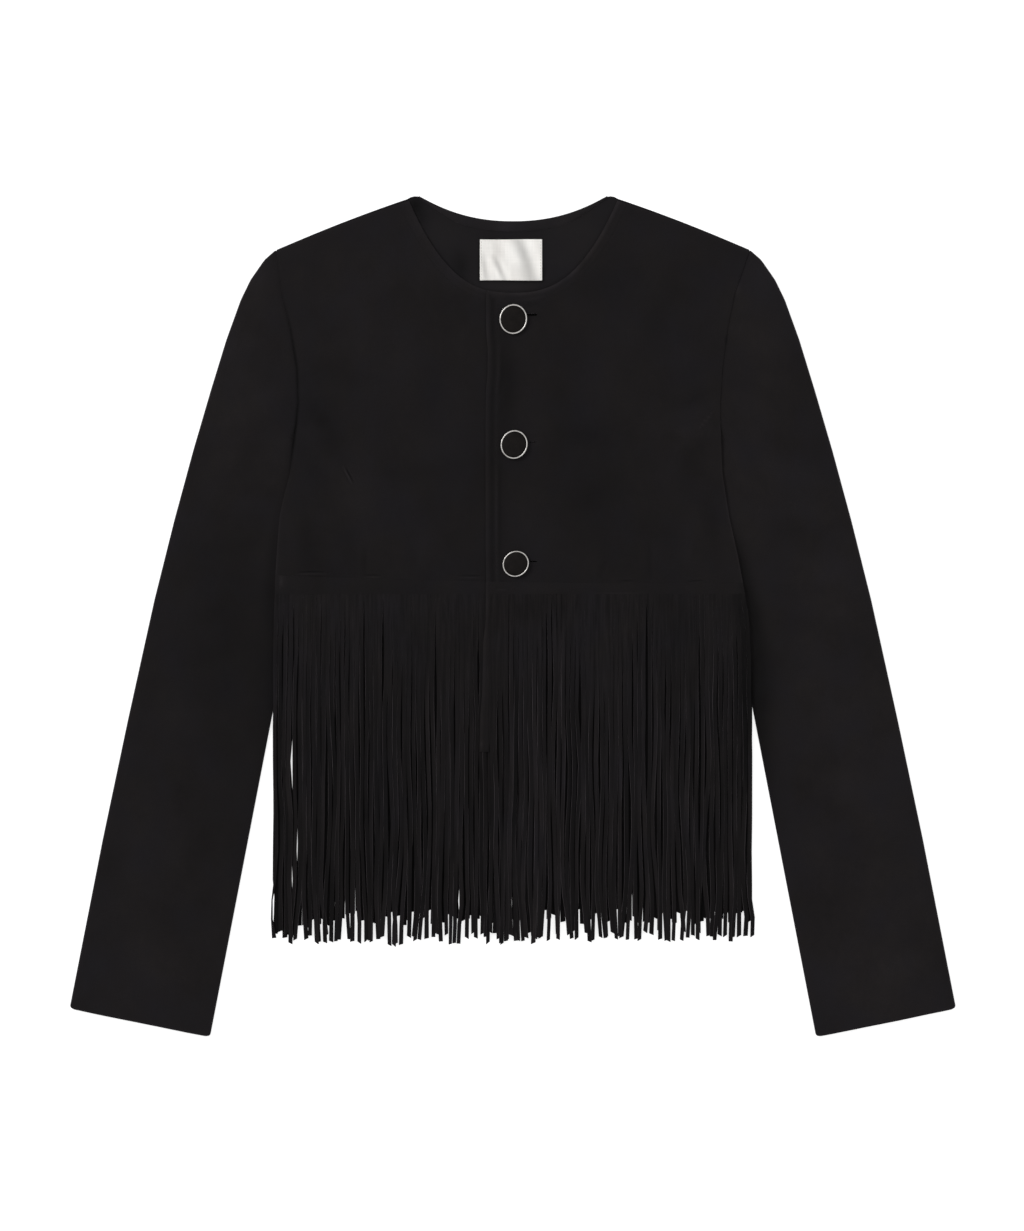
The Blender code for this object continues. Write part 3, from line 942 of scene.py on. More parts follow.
@dataclass
class BackPanel:
    """The back of the bodice, in one piece from the waist to the neck and shoulders."""

    finishes: Finishes
    width: float = 402.0
    depth: float = 310.0
    left_reach: float = 199.0
    low_y: float = 28.0
    label_reach: float = 3.0
    guess: Point = (400.0, 300.0)
    passes: int = 12
    wall: float = 3.0
    creases: tuple[Crease, ...] = creases_of(
        (-58, 322, -40, 300, -52, 268, 7, 0.35), (44, 330, 52, 312, 74, 300, 6, -0.35),
        (20, 330, 4, 326, -26, 331, 5, -0.25),
    )

    def place(self, u: Array, v: Array) -> Points:
        """Return where a share across and up the back lies.

        Args:
            u: shares across.
            v: shares along.

        Returns:
            Coordinates of the upper face.
        """
        x, y = (u - 0.5) * self.guess[0], v * self.guess[1]
        for _ in range(self.passes):  # the outline's x and y depend on each other
            low = PATTERN.waist_y(x)
            y = low + v * (PATTERN.back_top(x) - low)
            left, right = PATTERN.side_x(y, Side.LEFT), PATTERN.side_x(y, Side.RIGHT)
            x = left + u * (right - left)
        return x, y, LAY.back(x, y) + self.thickness(x, y)

    def thickness(self, x: Array, y: Array) -> Array:
        """Return the height of the upper face over the floor of the back.

        Args:
            x: places across.
            y: places along.

        Returns:
            The height.
        """
        top = PATTERN.back_top(x) - y
        relief = creased(self.creases, x, y) * 0.5 + 0.18 * UNEVEN_SMALL(x, y)
        soft = ease(top, 0.0, 6.0) * ease(PATTERN.inward(x, y), 0.0, 8.0)
        return 1.32 + np.clip(relief, -0.3, 0.18) * soft - 0.55 * np.exp(-top / 1.0)

    def build(self) -> Piece:
        """Build and dress the panel.

        Returns:
            The panel.
        """
        centre, size = PATTERN.label_centre, PATTERN.label_size
        left, low = centre[0] + self.left_reach, centre[1] - self.low_y
        sides = tuple((left + way * size[0] / 2.0, self.label_reach) for way in (-1.0, 1.0))
        ends = tuple((low + way * size[1] / 2.0, self.label_reach) for way in (-1.0, 1.0))
        columns = graded(self.width, 0.8, 3.2, 3.0, 3.0, sides)
        rows = graded(self.depth, 0.7, 3.2, 3.0, 5.0, ends)
        mesh = laid_grid(columns, rows, self.place)
        add_wall(mesh, self.wall, LAY.back)
        piece = finished("back_panel", mesh, self.finishes.inside, self.tone)
        return keep(piece, Slot.INSIDE, "back")

    def tone(self, x: Array, y: Array) -> Array:
        """Return the painted shade and painted light on the inside of the back, with a painted shadow
        round the label.

        Args:
            x: places across.
            y: places along.

        Returns:
            The tone, above 0 where lighter.
        """
        centre, size = PATTERN.label_centre, PATTERN.label_size
        across, along = np.abs(x - centre[0]) - size[0] / 2.0, np.abs(y - centre[1]) - size[1] / 2.0
        # painted shadow in a thin ring round the label's edge
        return clouded(BACK_SHADE_AND_LIGHT, x, y) - 0.3 * bump(np.maximum(across, along), 0.5, 1.1)


@dataclass(frozen=True)
class Buttonhole:
    """A slit that runs from under a button towards the side."""

    x: float
    y: float
    slant: float
    reach: float = 18.8
    width: float = 1.5

    def line(self) -> Edge:
        """Return the line of the slit."""
        return Edge(np.array([[self.x, self.y], [self.x + self.reach, self.y + self.slant]]))

    def cutter(self) -> Piece:
        """Return a block that cuts the slit, in metres.

        Returns:
            The block.
        """
        mesh = bmesh.new()
        bmesh.ops.create_cube(mesh, size=1.0)
        size = Matrix.Diagonal((self.reach, self.width, 30.0, 1.0))
        turn = Matrix.Rotation(atan2(self.slant, self.reach), 4, "Z")
        middle = Matrix.Translation((self.x + self.reach / 2.0, self.y + self.slant / 2.0, 0.0))
        shape = Matrix.Scale(SCALE, 4) @ middle @ turn @ size
        bmesh.ops.transform(mesh, matrix=shape, verts=mesh.verts)
        return linked("buttonhole_cutter", as_data("buttonhole_cutter", mesh))


def cut_out(piece: Piece, cutters: list[Piece]) -> None:
    """Cut blocks out of a piece and throw the blocks away.

    Args:
        piece: the piece to cut.
        cutters: the blocks.
    """
    for cutter in cutters:
        cut = piece.modifiers.new("cut", "BOOLEAN")
        cut.operation = "DIFFERENCE"
        cut.solver = "EXACT"
        cut.object = cutter
    view = bpy.context.view_layer
    view.update()
    made = bpy.data.meshes.new_from_object(piece.evaluated_get(view.depsgraph))
    old = piece.data
    piece.modifiers.clear()
    piece.data = made
    bpy.data.meshes.remove(old)
    made.name = piece.name
    for cutter in cutters:
        block = cutter.data
        bpy.data.objects.remove(cutter)
        bpy.data.meshes.remove(block)


@dataclass
class FrontPanel:
    """One front of the bodice, with its turned edge, dart and creases."""

    side: Side
    finishes: Finishes
    opening_x: float
    height: Height
    creases: tuple[Crease, ...]
    clouds: tuple[Cloud, ...] = ()
    seam_shading: tuple[Cloud, ...] = ()
    neck_rub_and_highlight: float = 0.1
    neck_band: float = 0.1
    welts: tuple[Crease, ...] = ()
    mark: tuple[float, float, float] = (0.0, 0.0, 4.0)
    buttonholes: tuple[Buttonhole, ...] = ()
    stitch_inset: float = 9.4
    neck_inset: float = 8.6
    shoulder_rub_and_highlight: float = 0.3
    depth: float = 330.0
    low_y: float = 30.6
    hole_middle: float = 37.0

    def __post_init__(self) -> None:
        """Lay out the edges of the panel."""
        self.opening = PATTERN.front_edge(self.side, self.opening_x)
        outer = PATTERN.side_x(np.array(PATTERN.waist_middle_y), self.side)
        self.outer_low = float(PATTERN.waist_y(outer))
        self.inner_low = float(self.opening.points[0, 1])
        corner = float(self.opening.reach[PATTERN.edge_steps])
        self.turn = (corner - 4.0, corner + 12.0)
        self.shoulder = PATTERN.shoulder_edge(self.side)

    def plan(self, u: Array, v: Array) -> tuple[Array, Array]:
        """Return where a share across and up the front lies on the table.

        Args:
            u: shares across.
            v: shares along.

        Returns:
            Coordinates in plan.
        """
        inner_x, inner_y = self.opening.at(v * self.opening.length)
        outer_y = self.outer_low + v * (PATTERN.shoulder_y - self.outer_low)
        outer_x = PATTERN.side_x(outer_y, self.side)
        x = inner_x + u * (outer_x - inner_x)
        bow = PATTERN.shoulder_bow * np.sin(pi * np.clip(u, 0.0, 1.0)) ** 0.75 * ease(v, 0.7, 1.0)
        straight = self.inner_low + u * (self.outer_low - self.inner_low)
        sag = (PATTERN.waist_y(x) - straight) * (1.0 - ease(v, 0.0, 0.15))
        return x, inner_y + u * (outer_y - inner_y) + bow + sag

    def outward(self, x: Array, y: Array) -> Array:
        """Return the distance to the panel's own side, or a long way past the middle."""
        return np.where(np.sign(x) == self.side.value, np.maximum(PATTERN.inward(x, y), 0.0), 200.0)

    def relief(self, x: Array, y: Array) -> Array:
        """Return what the cloth adds to the height of its solid.

        Args:
            x: places across.
            y: places along.

        Returns:
            The height.
        """
        edge, along = self.opening.nearest(x, y)
        neck = ease(along, *self.turn)
        row = self.stitch_inset + (self.neck_inset - self.stitch_inset) * neck
        seam = np.maximum(y - PATTERN.waist_y(x), 0.0)
        side = self.outward(x, y)
        shoulder = self.shoulder.away(x, y)
        free = ease(edge, 2.0, 16.0) * ease(side, 2.0, 14.0)
        free = free * ease(shoulder, 2.0, 14.0) * ease(seam, 1.0, 12.0)
        loose = (uneven(x, y) + creased(self.creases, x, y)) * free
        turned = 0.22 * bump(edge, 2.2, 1.8) - 0.75 * np.exp(-edge / 0.9) - 0.18 * bump(edge, 5.2, 1.8)
        stitched = -0.16 * bump(edge, row, 0.9)
        puckers = 0.10 * UNEVEN_FINE(x, y) * bump(edge, row, 5.0)
        above = ease(y, PATTERN.armpit_y - 30.0, PATTERN.armpit_y - 10.0)
        armhole = -0.14 * above * np.exp(-side / 1.0) - 0.9 * (1.0 - above) * np.exp(-side / 2.4)
        waist = -0.2 * np.exp(-seam / 0.8) + 0.12 * UNEVEN_FINE(1.3 * x, y) * bump(seam, 3.0, 4.0)
        waist = waist + 0.35 * creased(self.welts, x, y) * ease(seam, 0.4, 1.4)
        rolled = -1.1 * np.exp(-shoulder / 1.6)
        lips = 0.22 * sum(bump(hole.line().away(x, y), 1.5, 0.9) for hole in self.buttonholes)
        return loose + turned + stitched + puckers + armhole + waist + rolled + lips

    def surface(self, x: Array, y: Array) -> Array:
        """Return the height of the upper face."""
        return self.height(x, y) + FACE + self.relief(x, y)

    def place(self, u: Array, v: Array) -> Points:
        """Return where a share across and up the front lies."""
        x, y = self.plan(u, v)
        return x, y, self.surface(x, y)

    def tone(self, x: Array, y: Array) -> Array:
        """Return the rubbed nap and painted highlights along the edges, with painted shade and light at
        the seams and creases.

        Args:
            x: places across.
            y: places along.

        Returns:
            The tone, above 0 where lighter.
        """
        edge, along = self.opening.nearest(x, y)
        shoulder = self.shoulder.away(x, y)
        neck = ease(along, *self.turn)
        # rubbed nap and painted highlight along the opening, the neckline and the shoulder
        rub_and_highlight = (0.16 * (1.0 - neck) + self.neck_rub_and_highlight * neck) * bump(edge, 1.3, 2.0)
        rub_and_highlight = rub_and_highlight + self.neck_band * neck * bump(edge, 5.0, 5.0)
        rub_and_highlight = rub_and_highlight + self.shoulder_rub_and_highlight * np.exp(-shoulder / 1.6)
        rub_and_highlight = rub_and_highlight * (0.75 + 0.25 * UNEVEN_SMALL(x, y))
        side = self.outward(x, y)
        # painted shade and painted light along the armhole seam
        seam = np.exp(-((side / 1.3) ** 2)) * clouded(self.seam_shading, x, y)
        # painted highlight on the stitch row's ridge, and painted shade on both sides of it, along the
        # opening only
        line = bump(edge, 9.2, 0.8) - 0.5 * bump(edge, 12.0, 1.7)
        fold = read(STITCH_ROW_HIGHLIGHT, y, 1) * line - 0.40 * bump(edge, 5.6, 2.2) - 0.12 * bump(edge, 14.0, 4.0)
        fold = fold * (1.0 - neck)
        # painted shade in crease and welt troughs, and painted highlight on their ridges
        crease_shading = 0.2 * np.clip(creased(self.creases, x, y), -1.5, 1.0) + 0.4 * creased(self.welts, x, y)
        return rub_and_highlight + seam + fold + crease_shading + clouded(self.clouds, x, y)

    def build(self) -> Piece:
        """Build and dress the panel.

        Returns:
            The panel.
        """
        width = abs(PATTERN.shoulder_half - self.opening_x * self.side.value)
        mark_x, mark_y, mark_reach = self.mark
        across = [(abs(mark_x - self.opening_x), mark_reach)]
        up = [(mark_y - PATTERN.waist_middle_y, 1.4 * mark_reach)]
        up += [(hole.y - self.low_y, 4.0) for hole in self.buttonholes]
        if self.buttonholes:
            across.append((self.hole_middle, 8.0))
        columns = graded(width, 0.7, 2.3, 13.0, 4.0, tuple(across))
        rows = graded(self.depth, 0.6, 2.3, 5.0, 6.0, tuple(up))
        mesh = laid_grid(columns, rows, self.place)
        add_wall(mesh, WALL, self.height)
        word = self.side.name.lower()
        piece = finished(f"front_{word}_panel", mesh, self.finishes.suede, self.tone)
        if self.buttonholes:
            cut_out(piece, [hole.cutter() for hole in self.buttonholes])
        return keep(piece, Slot.SUEDE, f"front_{word}")


# How strong the painted highlight on the opening's stitch row is, by y.
STITCH_ROW_HIGHLIGHT = (
    (274, 0.05), (235, 0.08), (226, 0.2), (207, 0.5), (194, 0.4), (184, 0.15), (130, 0.18), (116, 0.6),
    (82, 0.62), (29, 0.3),
)

BUTTONHOLES = (
    Buttonhole(0.3, 256.2, -0.5, reach=19.8, width=2.1),
    Buttonhole(0.9, 145.2, 3.0, width=0.6),
    Buttonhole(2.5, 46.9, -0.2, reach=17.6, width=1.15),
)

LEFT_CREASES = creases_of(
    (-181, 190, -168, 172, -140, 148, 7, -0.5), (-178, 160, -160, 140, -146, 110, 8, 0.9),
    (-176, 214, -150, 212, -116, 190, 9, -0.7), (-150, 270, -128, 250, -118, 214, 12, 0.6),
    (-60, 236, -74, 190, -66, 150, 15, -0.6), (-40, 132, -66, 118, -108, 120, 11, -0.6),
    (-34, 98, -60, 82, -92, 46, 12, 0.6), (-125.8, 62, -125.4, 48, -126, 31, 2.2, -0.8),
    (-152, 36, -150, 58, -160, 92, 8, 0.7), (-176, 34, -172, 62, -180, 104, 7, -0.7),
    (-88, 34, -84, 50, -88, 74, 6, -0.5),
)
LEFT_WELTS = creases_of(
    (-184, 35.6, -170, 36.2, -157, 36, 0.8, 1.6), (-184, 37.6, -170, 38.2, -158, 38, 0.7, -0.8),
    (-127, 33.2, -119, 33.5, -110, 33.1, 0.8, 1.1), (-127, 35.1, -119, 35.3, -112, 34.9, 0.9, -0.6),
    (-46, 32.9, -36, 32.7, -25, 32.9, 0.8, 0.8), (-47, 34.7, -36, 34.6, -25, 34.7, 0.8, -0.7),
    (-144.6, 128.6, -141, 121, -136.2, 112, 0.8, 1.9),
    (-142.8, 127.8, -139.2, 120.4, -135, 113, 0.8, -1.5),
)
RIGHT_WELTS = creases_of(
    (89, 30.4, 97, 30.7, 104, 30.3, 0.8, -1), (146, 29.6, 154, 30.8, 163, 30.2, 0.8, -1.1),
    (171.6, 176.4, 166, 169, 161.4, 161.4, 0.7, 2), (166.6, 171.8, 162.2, 165.8, 157.8, 158.8, 0.7, 2),
    (168.6, 173, 164, 167.4, 160, 160.6, 0.7, -1),
)

RIGHT_CREASES = creases_of(
    (174, 196, 158, 182, 132, 176, 6, -0.9), (7, 267, 17, 271, 28, 270.5, 2.2, 0.6),
    (8, 263, 16, 264.5, 25, 264.5, 2.4, -0.7), (13, 148, 18, 152, 22, 149, 3, -0.5),
    (172, 160, 152, 138, 140, 100, 9, -0.9), (172, 230, 148, 222, 112, 196, 10, 0.7),
    (140, 284, 120, 258, 112, 220, 12, -0.6), (64, 240, 78, 196, 62, 150, 16, 0.6),
    (34, 148, 52, 158, 84, 150, 9, -0.6), (30, 100, 60, 92, 104, 116, 12, -0.35),
    (115.6, 66, 115.2, 48, 115.8, 29, 2.2, -0.85), (80, 50, 76, 40, 72, 31, 2.6, -0.6),
    (150, 34, 146, 60, 158, 96, 8, 0.7), (176, 34, 168, 66, 172, 110, 7, -0.7),
)


# Patches of the left front painted lighter or darker, with painted shade under the buttonhole slits that
# makes them read black.
LEFT_TONE_AND_SHADE = clouds_of(
    (-100, 292, 70, 34, 0.13), (-164, 160, 20, 44, -0.30), (-160, 60, 40, 60, -0.12),
    (-132, 120, 16, 60, 0.10), (-96, 160, 26, 50, -0.10), (-55, 80, 30, 60, -0.12),
    (-100, 32, 130, 22, -0.13), (-30, 150, 14, 160, -0.10), (16, 255.7, 7, 3.2, -0.97),
    (17, 46.9, 5, 1.8, -0.95),
)
# Patches of the right front painted lighter or darker, with painted shade beside the lap edge and under
# the top slit, and a painted highlight on the lap edge.
RIGHT_TONE_AND_SHADE = clouds_of(
    (-4, 196, 7, 36, -0.32), (16.5, 255.7, 5, 1.8, -0.5), (19, 148, 7, 5, 0.14),
    (-5, 150, 14, 110, -0.11), (82, 286, 26, 26, -0.17), (142, 284, 20, 24, -0.16),
    (66, 130, 36, 84, -0.26), (125, 80, 30, 24, -0.16), (148, 168, 24, 34, 0.12),
    (60, 34, 130, 20, -0.08), (-21.8, 243, 2.2, 14, 0.35),
)
# Painted shadows inside the left neckline, under the neck peak and along the label's edges, painted
# light where the fronts' edge shades the back, and two lighter patches.
BACK_SHADE_AND_LIGHT = clouds_of(
    (-8, 279, 30, 5, 0.45), (52, 300, 26, 30, 0.16), (-45, 299, 7, 12, -0.45), (-80, 343, 8, 14, -0.55),
    (-84.5, 351, 5, 7, -0.6), (25.4, 292.5, 1.7, 7, -0.5), (13, 284.4, 13, 1.5, -0.5),
    (-28.8, 298, 1.4, 13, -0.3), (-56, 320, 16, 12, 0.14),
)
# Painted shade and painted light along the armhole seams, on the fronts and on the sleeves.
LEFT_SEAM_SHADING = clouds_of(
    (-190, 216, 60, 46, -0.75), (-185, 154, 60, 26, -0.9), (-198, 45, 60, 56, 0.5),
)
RIGHT_SEAM_SHADING = clouds_of(
    (185, 235, 60, 4, -0.5), (190, 82, 60, 56, 0.6), (202, -10, 60, 44, 0.5),
)


# ------------------------------------------------------------------- sleeves


@dataclass
class Sleeve:
    """One sleeve as a flattened tube, tucked under the side of the body."""

    side: Side
    finishes: Finishes
    creases: tuple[Crease, ...]
    edge: tuple = (
        (311.4, 201.2), (303, 210.8), (286, 222.6), (269, 230.9), (235, 243.2), (192, 256.4),
        (141, 271.3), (82, 287.3), (14, 304.3), (-88, 326.8), (-190, 348.3), (-332.8, 376.3),
    )
    sections: tuple = (
        (310.6, 310.8, 0), (303, 304, 0.15), (290, 290, 0.40), (272, 270, 0.65), (246, 243, 0.85),
        (211, 212, 1.00), (182, 188, 1.00), (165, 173, 1.00), (150, 159, 0.95), (140, 150, 0.95),
        (110, 122, 0.95), (70, 83, 1.00), (30, 44, 1.00), (-10, 6, 0.95), (-45, -27, 0.90),
        (-81, -62, 0.90), (-130, -109, 0.95), (-190, -168, 1.00), (-250, -227, 0.95),
        (-310, -286.5, 0.85), (-357.1, -332.8, 0.70),
    )
    length: float = 690.0
    rise: float = 3.4
    blend: float = 4.0
    tuck: float = 14.0
    tuck_span: float = 10.0
    tuck_past: float = 6.0
    fold_x: float = 204.0
    fold_slope: float = -0.1935
    flat_height: float = 3.3
    nose: float = 1.65
    nose_steps: int = 6
    wall: float = 1.15
    corner: float = 3.2
    clouds: tuple[Cloud, ...] = ()
    seam_shading: tuple[Cloud, ...] = ()
    shadow: float = 0.2
    outward: float = 0.0

    def inner_x(self, y: Array) -> Array:
        """Return how far in the sleeve reaches at y, as a distance from the centre.

        Args:
            y: places along.

        Returns:
            The distance.
        """
        side = np.abs(PATTERN.side_x(y, self.side))
        top = PATTERN.armpit_y - LAY.lift_top_ease + self.tuck_past
        fold = self.fold_x + self.fold_slope * (y - LAY.inner_fold_y)
        tucked = np.maximum(fold, side - self.tuck)
        under = 1.0 - ease(y, top - self.tuck_span, top)
        return side + (tucked - side) * under

    def rows(self) -> Array:
        """Return the shares along the sleeve, from the shoulder to the cuff."""
        return graded(self.length, 0.8, 3.6, 4.0, 6.0)

    def section(self, v: Array) -> Points:
        """Return the inner y, the outer y and the fullness at shares along the sleeve.

        Args:
            v: shares along.

        Returns:
            Three values for each share.
        """
        table = np.array(self.sections)
        middle = (table[:, 0] + table[:, 1]) / 2.0
        reach = (middle[0] - middle) / (middle[0] - middle[-1])
        return tuple(np.interp(v, reach, table[:, column]) for column in range(3))

    def loop(self) -> tuple[Array, Array]:
        """Return the columns round the tube: shares, and 1 for the upper layer.

        Returns:
            The shares and the layers.
        """
        nose = self.nose_steps
        upper = graded(100.0, 1.2, 2.0, 2.0, 2.0)
        lower = graded(100.0, 2.0, 5.0, 2.0, 2.0)[::-1]
        inner, outer = np.arange(nose) - nose, 2.0 + np.arange(nose)
        over = np.concatenate([inner, upper, outer])
        under = np.concatenate([outer[::-1][1:], lower, inner[::-1]])
        places = np.concatenate([over, under])
        return places, np.concatenate([np.ones(len(over)), np.zeros(len(under))])

    def place(self, column: Array, v: Array) -> Points:
        """Return where a column round the tube lies at a share along it.

        Args:
            column: numbers of the columns.
            v: shares along.

        Returns:
            Coordinates of the outer face.
        """
        places, layers = self.loop()
        index = np.rint(column).astype(int)
        place, upper = places[index], layers[index] > 0.5
        inner_y, outer_y, fullness = self.section(v)
        inner_x = self.inner_x(inner_y)
        outer_x = read(self.edge, outer_y, 1) + self.outward
        room = np.hypot(outer_x - inner_x, outer_y - inner_y)
        sewn = ease(inner_y, PATTERN.armpit_y - 20.0, PATTERN.armpit_y)
        inner_nose = np.minimum(self.nose - 1.55 * sewn, 0.4 * room)
        outer_nose = np.minimum(self.nose, 0.4 * room)
        away = self.distance(place, room, inner_nose, outer_nose)
        to_cuff = (1.0 - v) * self.length
        turned = np.clip(1.0 - to_cuff / self.corner, 0.0, 1.0)
        pinch = self.corner * (1.0 - np.sqrt(1.0 - turned**2)) / room
        share = pinch + away / room * (1.0 - 2.0 * pinch)
        x = inner_x + share * (outer_x - inner_x)
        y = inner_y + share * (outer_y - inner_y)
        round_in = np.sqrt(np.clip(1.0 - (1.0 - np.clip(away / inner_nose, 0.0, 1.0)) ** 2, 0.0, 1.0))
        rest = np.clip((room - away) / outer_nose, 0.0, 1.0)
        round_out = np.sqrt(np.clip(1.0 - (1.0 - rest) ** 2, 0.0, 1.0))
        sunk = 0.9 * sewn * (1.0 - ease(away, 1.0, np.minimum(16.0, 0.5 * room)))
        flat = self.flat_height - sunk
        half = flat / 2.0 * np.minimum(round_in, round_out) * ease(v, -0.004, 0.004)
        full = self.fullness(x, y, away, room, (inner_x, inner_y), fullness)
        over = flat / 2.0 + half + full
        hem = 0.5 * np.exp(-to_cuff / 1.2)
        z = np.where(upper, over - hem, flat / 2.0 - half)
        return self.side.value * x, y, z

    def distance(self, place: Array, room: Array, inner: Array, outer: Array) -> Array:
        """Return how far from the inner fold a column lies.

        Args:
            place: shares round the tube.
            room: the width of the sleeve.
            inner: how far its inner nose reaches.
            outer: how far its outer nose reaches.

        Returns:
            The distance.
        """
        turn = pi / 2.0 / self.nose_steps
        start = inner * (1.0 - np.cos((place + self.nose_steps) * turn))
        middle = inner + np.clip(place, 0.0, 1.0) * (room - inner - outer)
        end = room - outer * (1.0 - np.sin((place - 1.0) * turn))
        return np.where(place < 0.0, start, np.where(place > 1.5, end, middle))

    def fullness(
        self, x: Array, y: Array, away: Array, room: Array, inner: tuple[Array, Array], full: Array
    ) -> Array:
        """Return how far the upper layer stands over a flat sleeve.

        Args:
            x: places across.
            y: places along.
            away: the distance from the inner fold.
            room: the width of the sleeve.
            inner: the x and y of the inner fold.
            full: how full the sleeve is there.

        Returns:
            The height.
        """
        body = np.abs(PATTERN.side_x(inner[1], self.side))
        showing = np.maximum(inner[0], body) + self.blend * 0.5
        start = np.minimum(showing - inner[0], 0.3 * room)
        share = np.clip((away - start) / (room - start), 0.0, 1.0)
        arch = np.sin(pi * share) ** 0.55
        signed = self.side.value * x
        rise = full * arch * (0.8 * self.rise + 0.5 * LAY.fold(signed, y))
        free = ease(away - start, 0.0, 10.0) * ease(room - away, 1.5, 12.0)
        loose = uneven(signed + 500.0, y) + creased(self.creases, signed, y)
        return rise + np.maximum(loose, -1.2) * free * np.minimum(1.0, 2.0 * full)

    def tone(self, x: Array, y: Array) -> Array:
        """Return the rubbed nap and painted highlight along the outer fold, painted shade and light at
        the armhole seam, a painted shadow beside the body, and painted shade in the creases.

        Args:
            x: places across.
            y: places along.

        Returns:
            The tone, above 0 where lighter.
        """
        outer = read(self.edge, y, 1)
        # rubbed nap and painted highlight along the outer fold
        rub_and_highlight = 0.15 * np.exp(-np.abs(outer - np.abs(x)) / 2.0) * (0.7 + 0.3 * UNEVEN_SMALL(x, y))
        away = np.maximum(np.abs(x) - np.abs(PATTERN.side_x(y, self.side)), 0.0)
        # painted shade and painted light along the armhole seam
        seam = np.exp(-((away / 1.5) ** 2)) * clouded(self.seam_shading, x, y)
        reach = 7.5 + 9.0 * (1.0 - ease(y, -60.0, 52.0))
        shadow = -self.shadow * np.exp(-((away / reach) ** 2.4)) * (1.0 - ease(y, 40.0, 90.0))
        # painted shade in crease troughs, and painted highlight on their ridges
        crease_shading = 0.12 * np.clip(creased(self.creases, x, y), -1.0, 1.0)
        return rub_and_highlight + seam + shadow + crease_shading + clouded(self.clouds, x, y)

    def build(self) -> Piece:
        """Build and dress the sleeve.

        Returns:
            The sleeve.
        """
        columns = np.arange(len(self.loop()[0]), dtype=float)
        mesh = laid_grid(columns, self.rows(), self.place)
        bmesh.ops.remove_doubles(mesh, verts=mesh.verts, dist=0.002)
        self.close_top(mesh)
        word = self.side.name.lower()
        piece = finished(f"sleeve_{word}_tube", mesh, self.finishes.suede, self.tone)
        wall = piece.modifiers.new("wall", "SOLIDIFY")
        wall.thickness = self.wall * SCALE
        wall.offset = -1.0
        return keep(piece, Slot.SUEDE, f"sleeve_{word}_upper", f"sleeve_{word}_under")

    def close_top(self, mesh: Draft) -> None:
        """Close the small end of the tube at the tip of the shoulder.

        Args:
            mesh: the tube.
        """
        open_edges = [edge for edge in mesh.edges if edge.is_boundary]
        top = [edge for edge in open_edges if edge.verts[0].co.y > 300.0]
        if top:
            bmesh.ops.holes_fill(mesh, edges=top, sides=0)


LEFT_SLEEVE_CREASES = creases_of(
    (-186, 236, -214, 222, -242, 196, 9, -0.7), (-188, 190, -214, 186, -250, 160, 9, 0.8),
    (-192, 168, -216, 150, -236, 112, 9, -1), (-204, 98, -236, 92, -272, 104, 10, 0.8),
    (-208, 66, -240, 52, -284, 62, 9, -1), (-212, 20, -250, 24, -292, 8, 11, 0.8),
    (-216, -24, -246, -24, -280, -48, 9, -0.9), (-222, -84, -256, -96, -306, -82, 12, 0.6),
    (-236, -150, -262, -176, -268, -226, 10, -0.8), (-320, -140, -312, -190, -322, -240, 11, 0.6),
    (-262, -262, -292, -278, -336, -262, 12, -0.6), (-296, -334, -302, -304, -318, -280, 10, 0.5),
)

RIGHT_SLEEVE_CREASES = creases_of(
    (184, 246, 206, 232, 236, 220, 8, 0.7), (180, 200, 206, 196, 240, 172, 9, -0.9),
    (184, 168, 204, 140, 214, 98, 8, -1.1), (214, 132, 236, 116, 272, 114, 9, 0.8),
    (206, 76, 238, 74, 280, 52, 10, -0.9), (210, 36, 240, 28, 286, 34, 9, 0.8),
    (214, -8, 250, -2, 300, -22, 10, -1), (218, -56, 246, -50, 276, -72, 9, 0.8),
    (228, -112, 262, -108, 318, -132, 12, -0.7), (246, -180, 270, -210, 276, -262, 11, 0.7),
    (338, -170, 320, -210, 330, -258, 10, -0.6), (280, -300, 308, -308, 346, -290, 11, 0.5),
)


LEFT_SLEEVE_CLOUDS = clouds_of(
    (-232, 190, 26, 60, 0.16), (-214, 242, 26, 28, 0.16), (-216, 284, 20, 26, 0.28),
    (-203, 130, 14, 30, 0.16), (-240, 80, 50, 40, -0.04), (-244, 18, 44, 40, -0.32),
    (-248, -56, 42, 46, -0.30), (-238, -145, 24, 60, -0.20), (-300, -312, 60, 40, 0.16),
)
RIGHT_SLEEVE_CLOUDS = clouds_of(
    (190.5, 279, 2.2, 5, 0.45), (212, 296, 16, 22, 0.28), (216, 248, 22, 36, 0.14),
    (207, 132, 36, 76, 0.26), (272, 30, 28, 84, 0.34), (292, -110, 50, 64, 0.26),
    (300, -220, 90, 80, 0.16), (310, -316, 64, 46, 0.34),
)


# -------------------------------------------------------------------- fringe

# Patches of the waist bands painted lighter or darker, with a painted glint near the left side.
BAND_CLOUDS = clouds_of(
    (-100, 26, 70, 12, -0.18), (24, 23, 18, 6, 0.12), (-196, 29.5, 3.2, 6.5, 0.5),
    (120, 24, 40, 10, -0.08),
)
# Painted glints and painted shade in short dashes along the waist seam; the band's shape doesn't use
# them.
BAND_SEAM_GLINTS_AND_SHADE = creases_of(
    (-198, 36, -196.4, 30, -197.6, 24, 1, 0.5), (62, 20.2, 88, 19, 116, 20.4, 0.8, 0.3),
    (-14, 22.8, -10, 22.4, -5, 22.6, 0.9, 0.5), (106, 29.2, 112, 30, 118, 29.4, 1, -0.5),
)


@dataclass(frozen=True)
class Parting:
    """A place where the strands of a fringe lie apart, all drawn aside by a shift."""

    x: float
    top: float
    bottom: float
    width: float
    shift: float = 0.0


def partings_of(*rows: tuple) -> tuple[Parting, ...]:
    """Return partings from rows of x, top, bottom, width and, where it isn't 0, shift."""
    return tuple(Parting(*row) for row in rows)


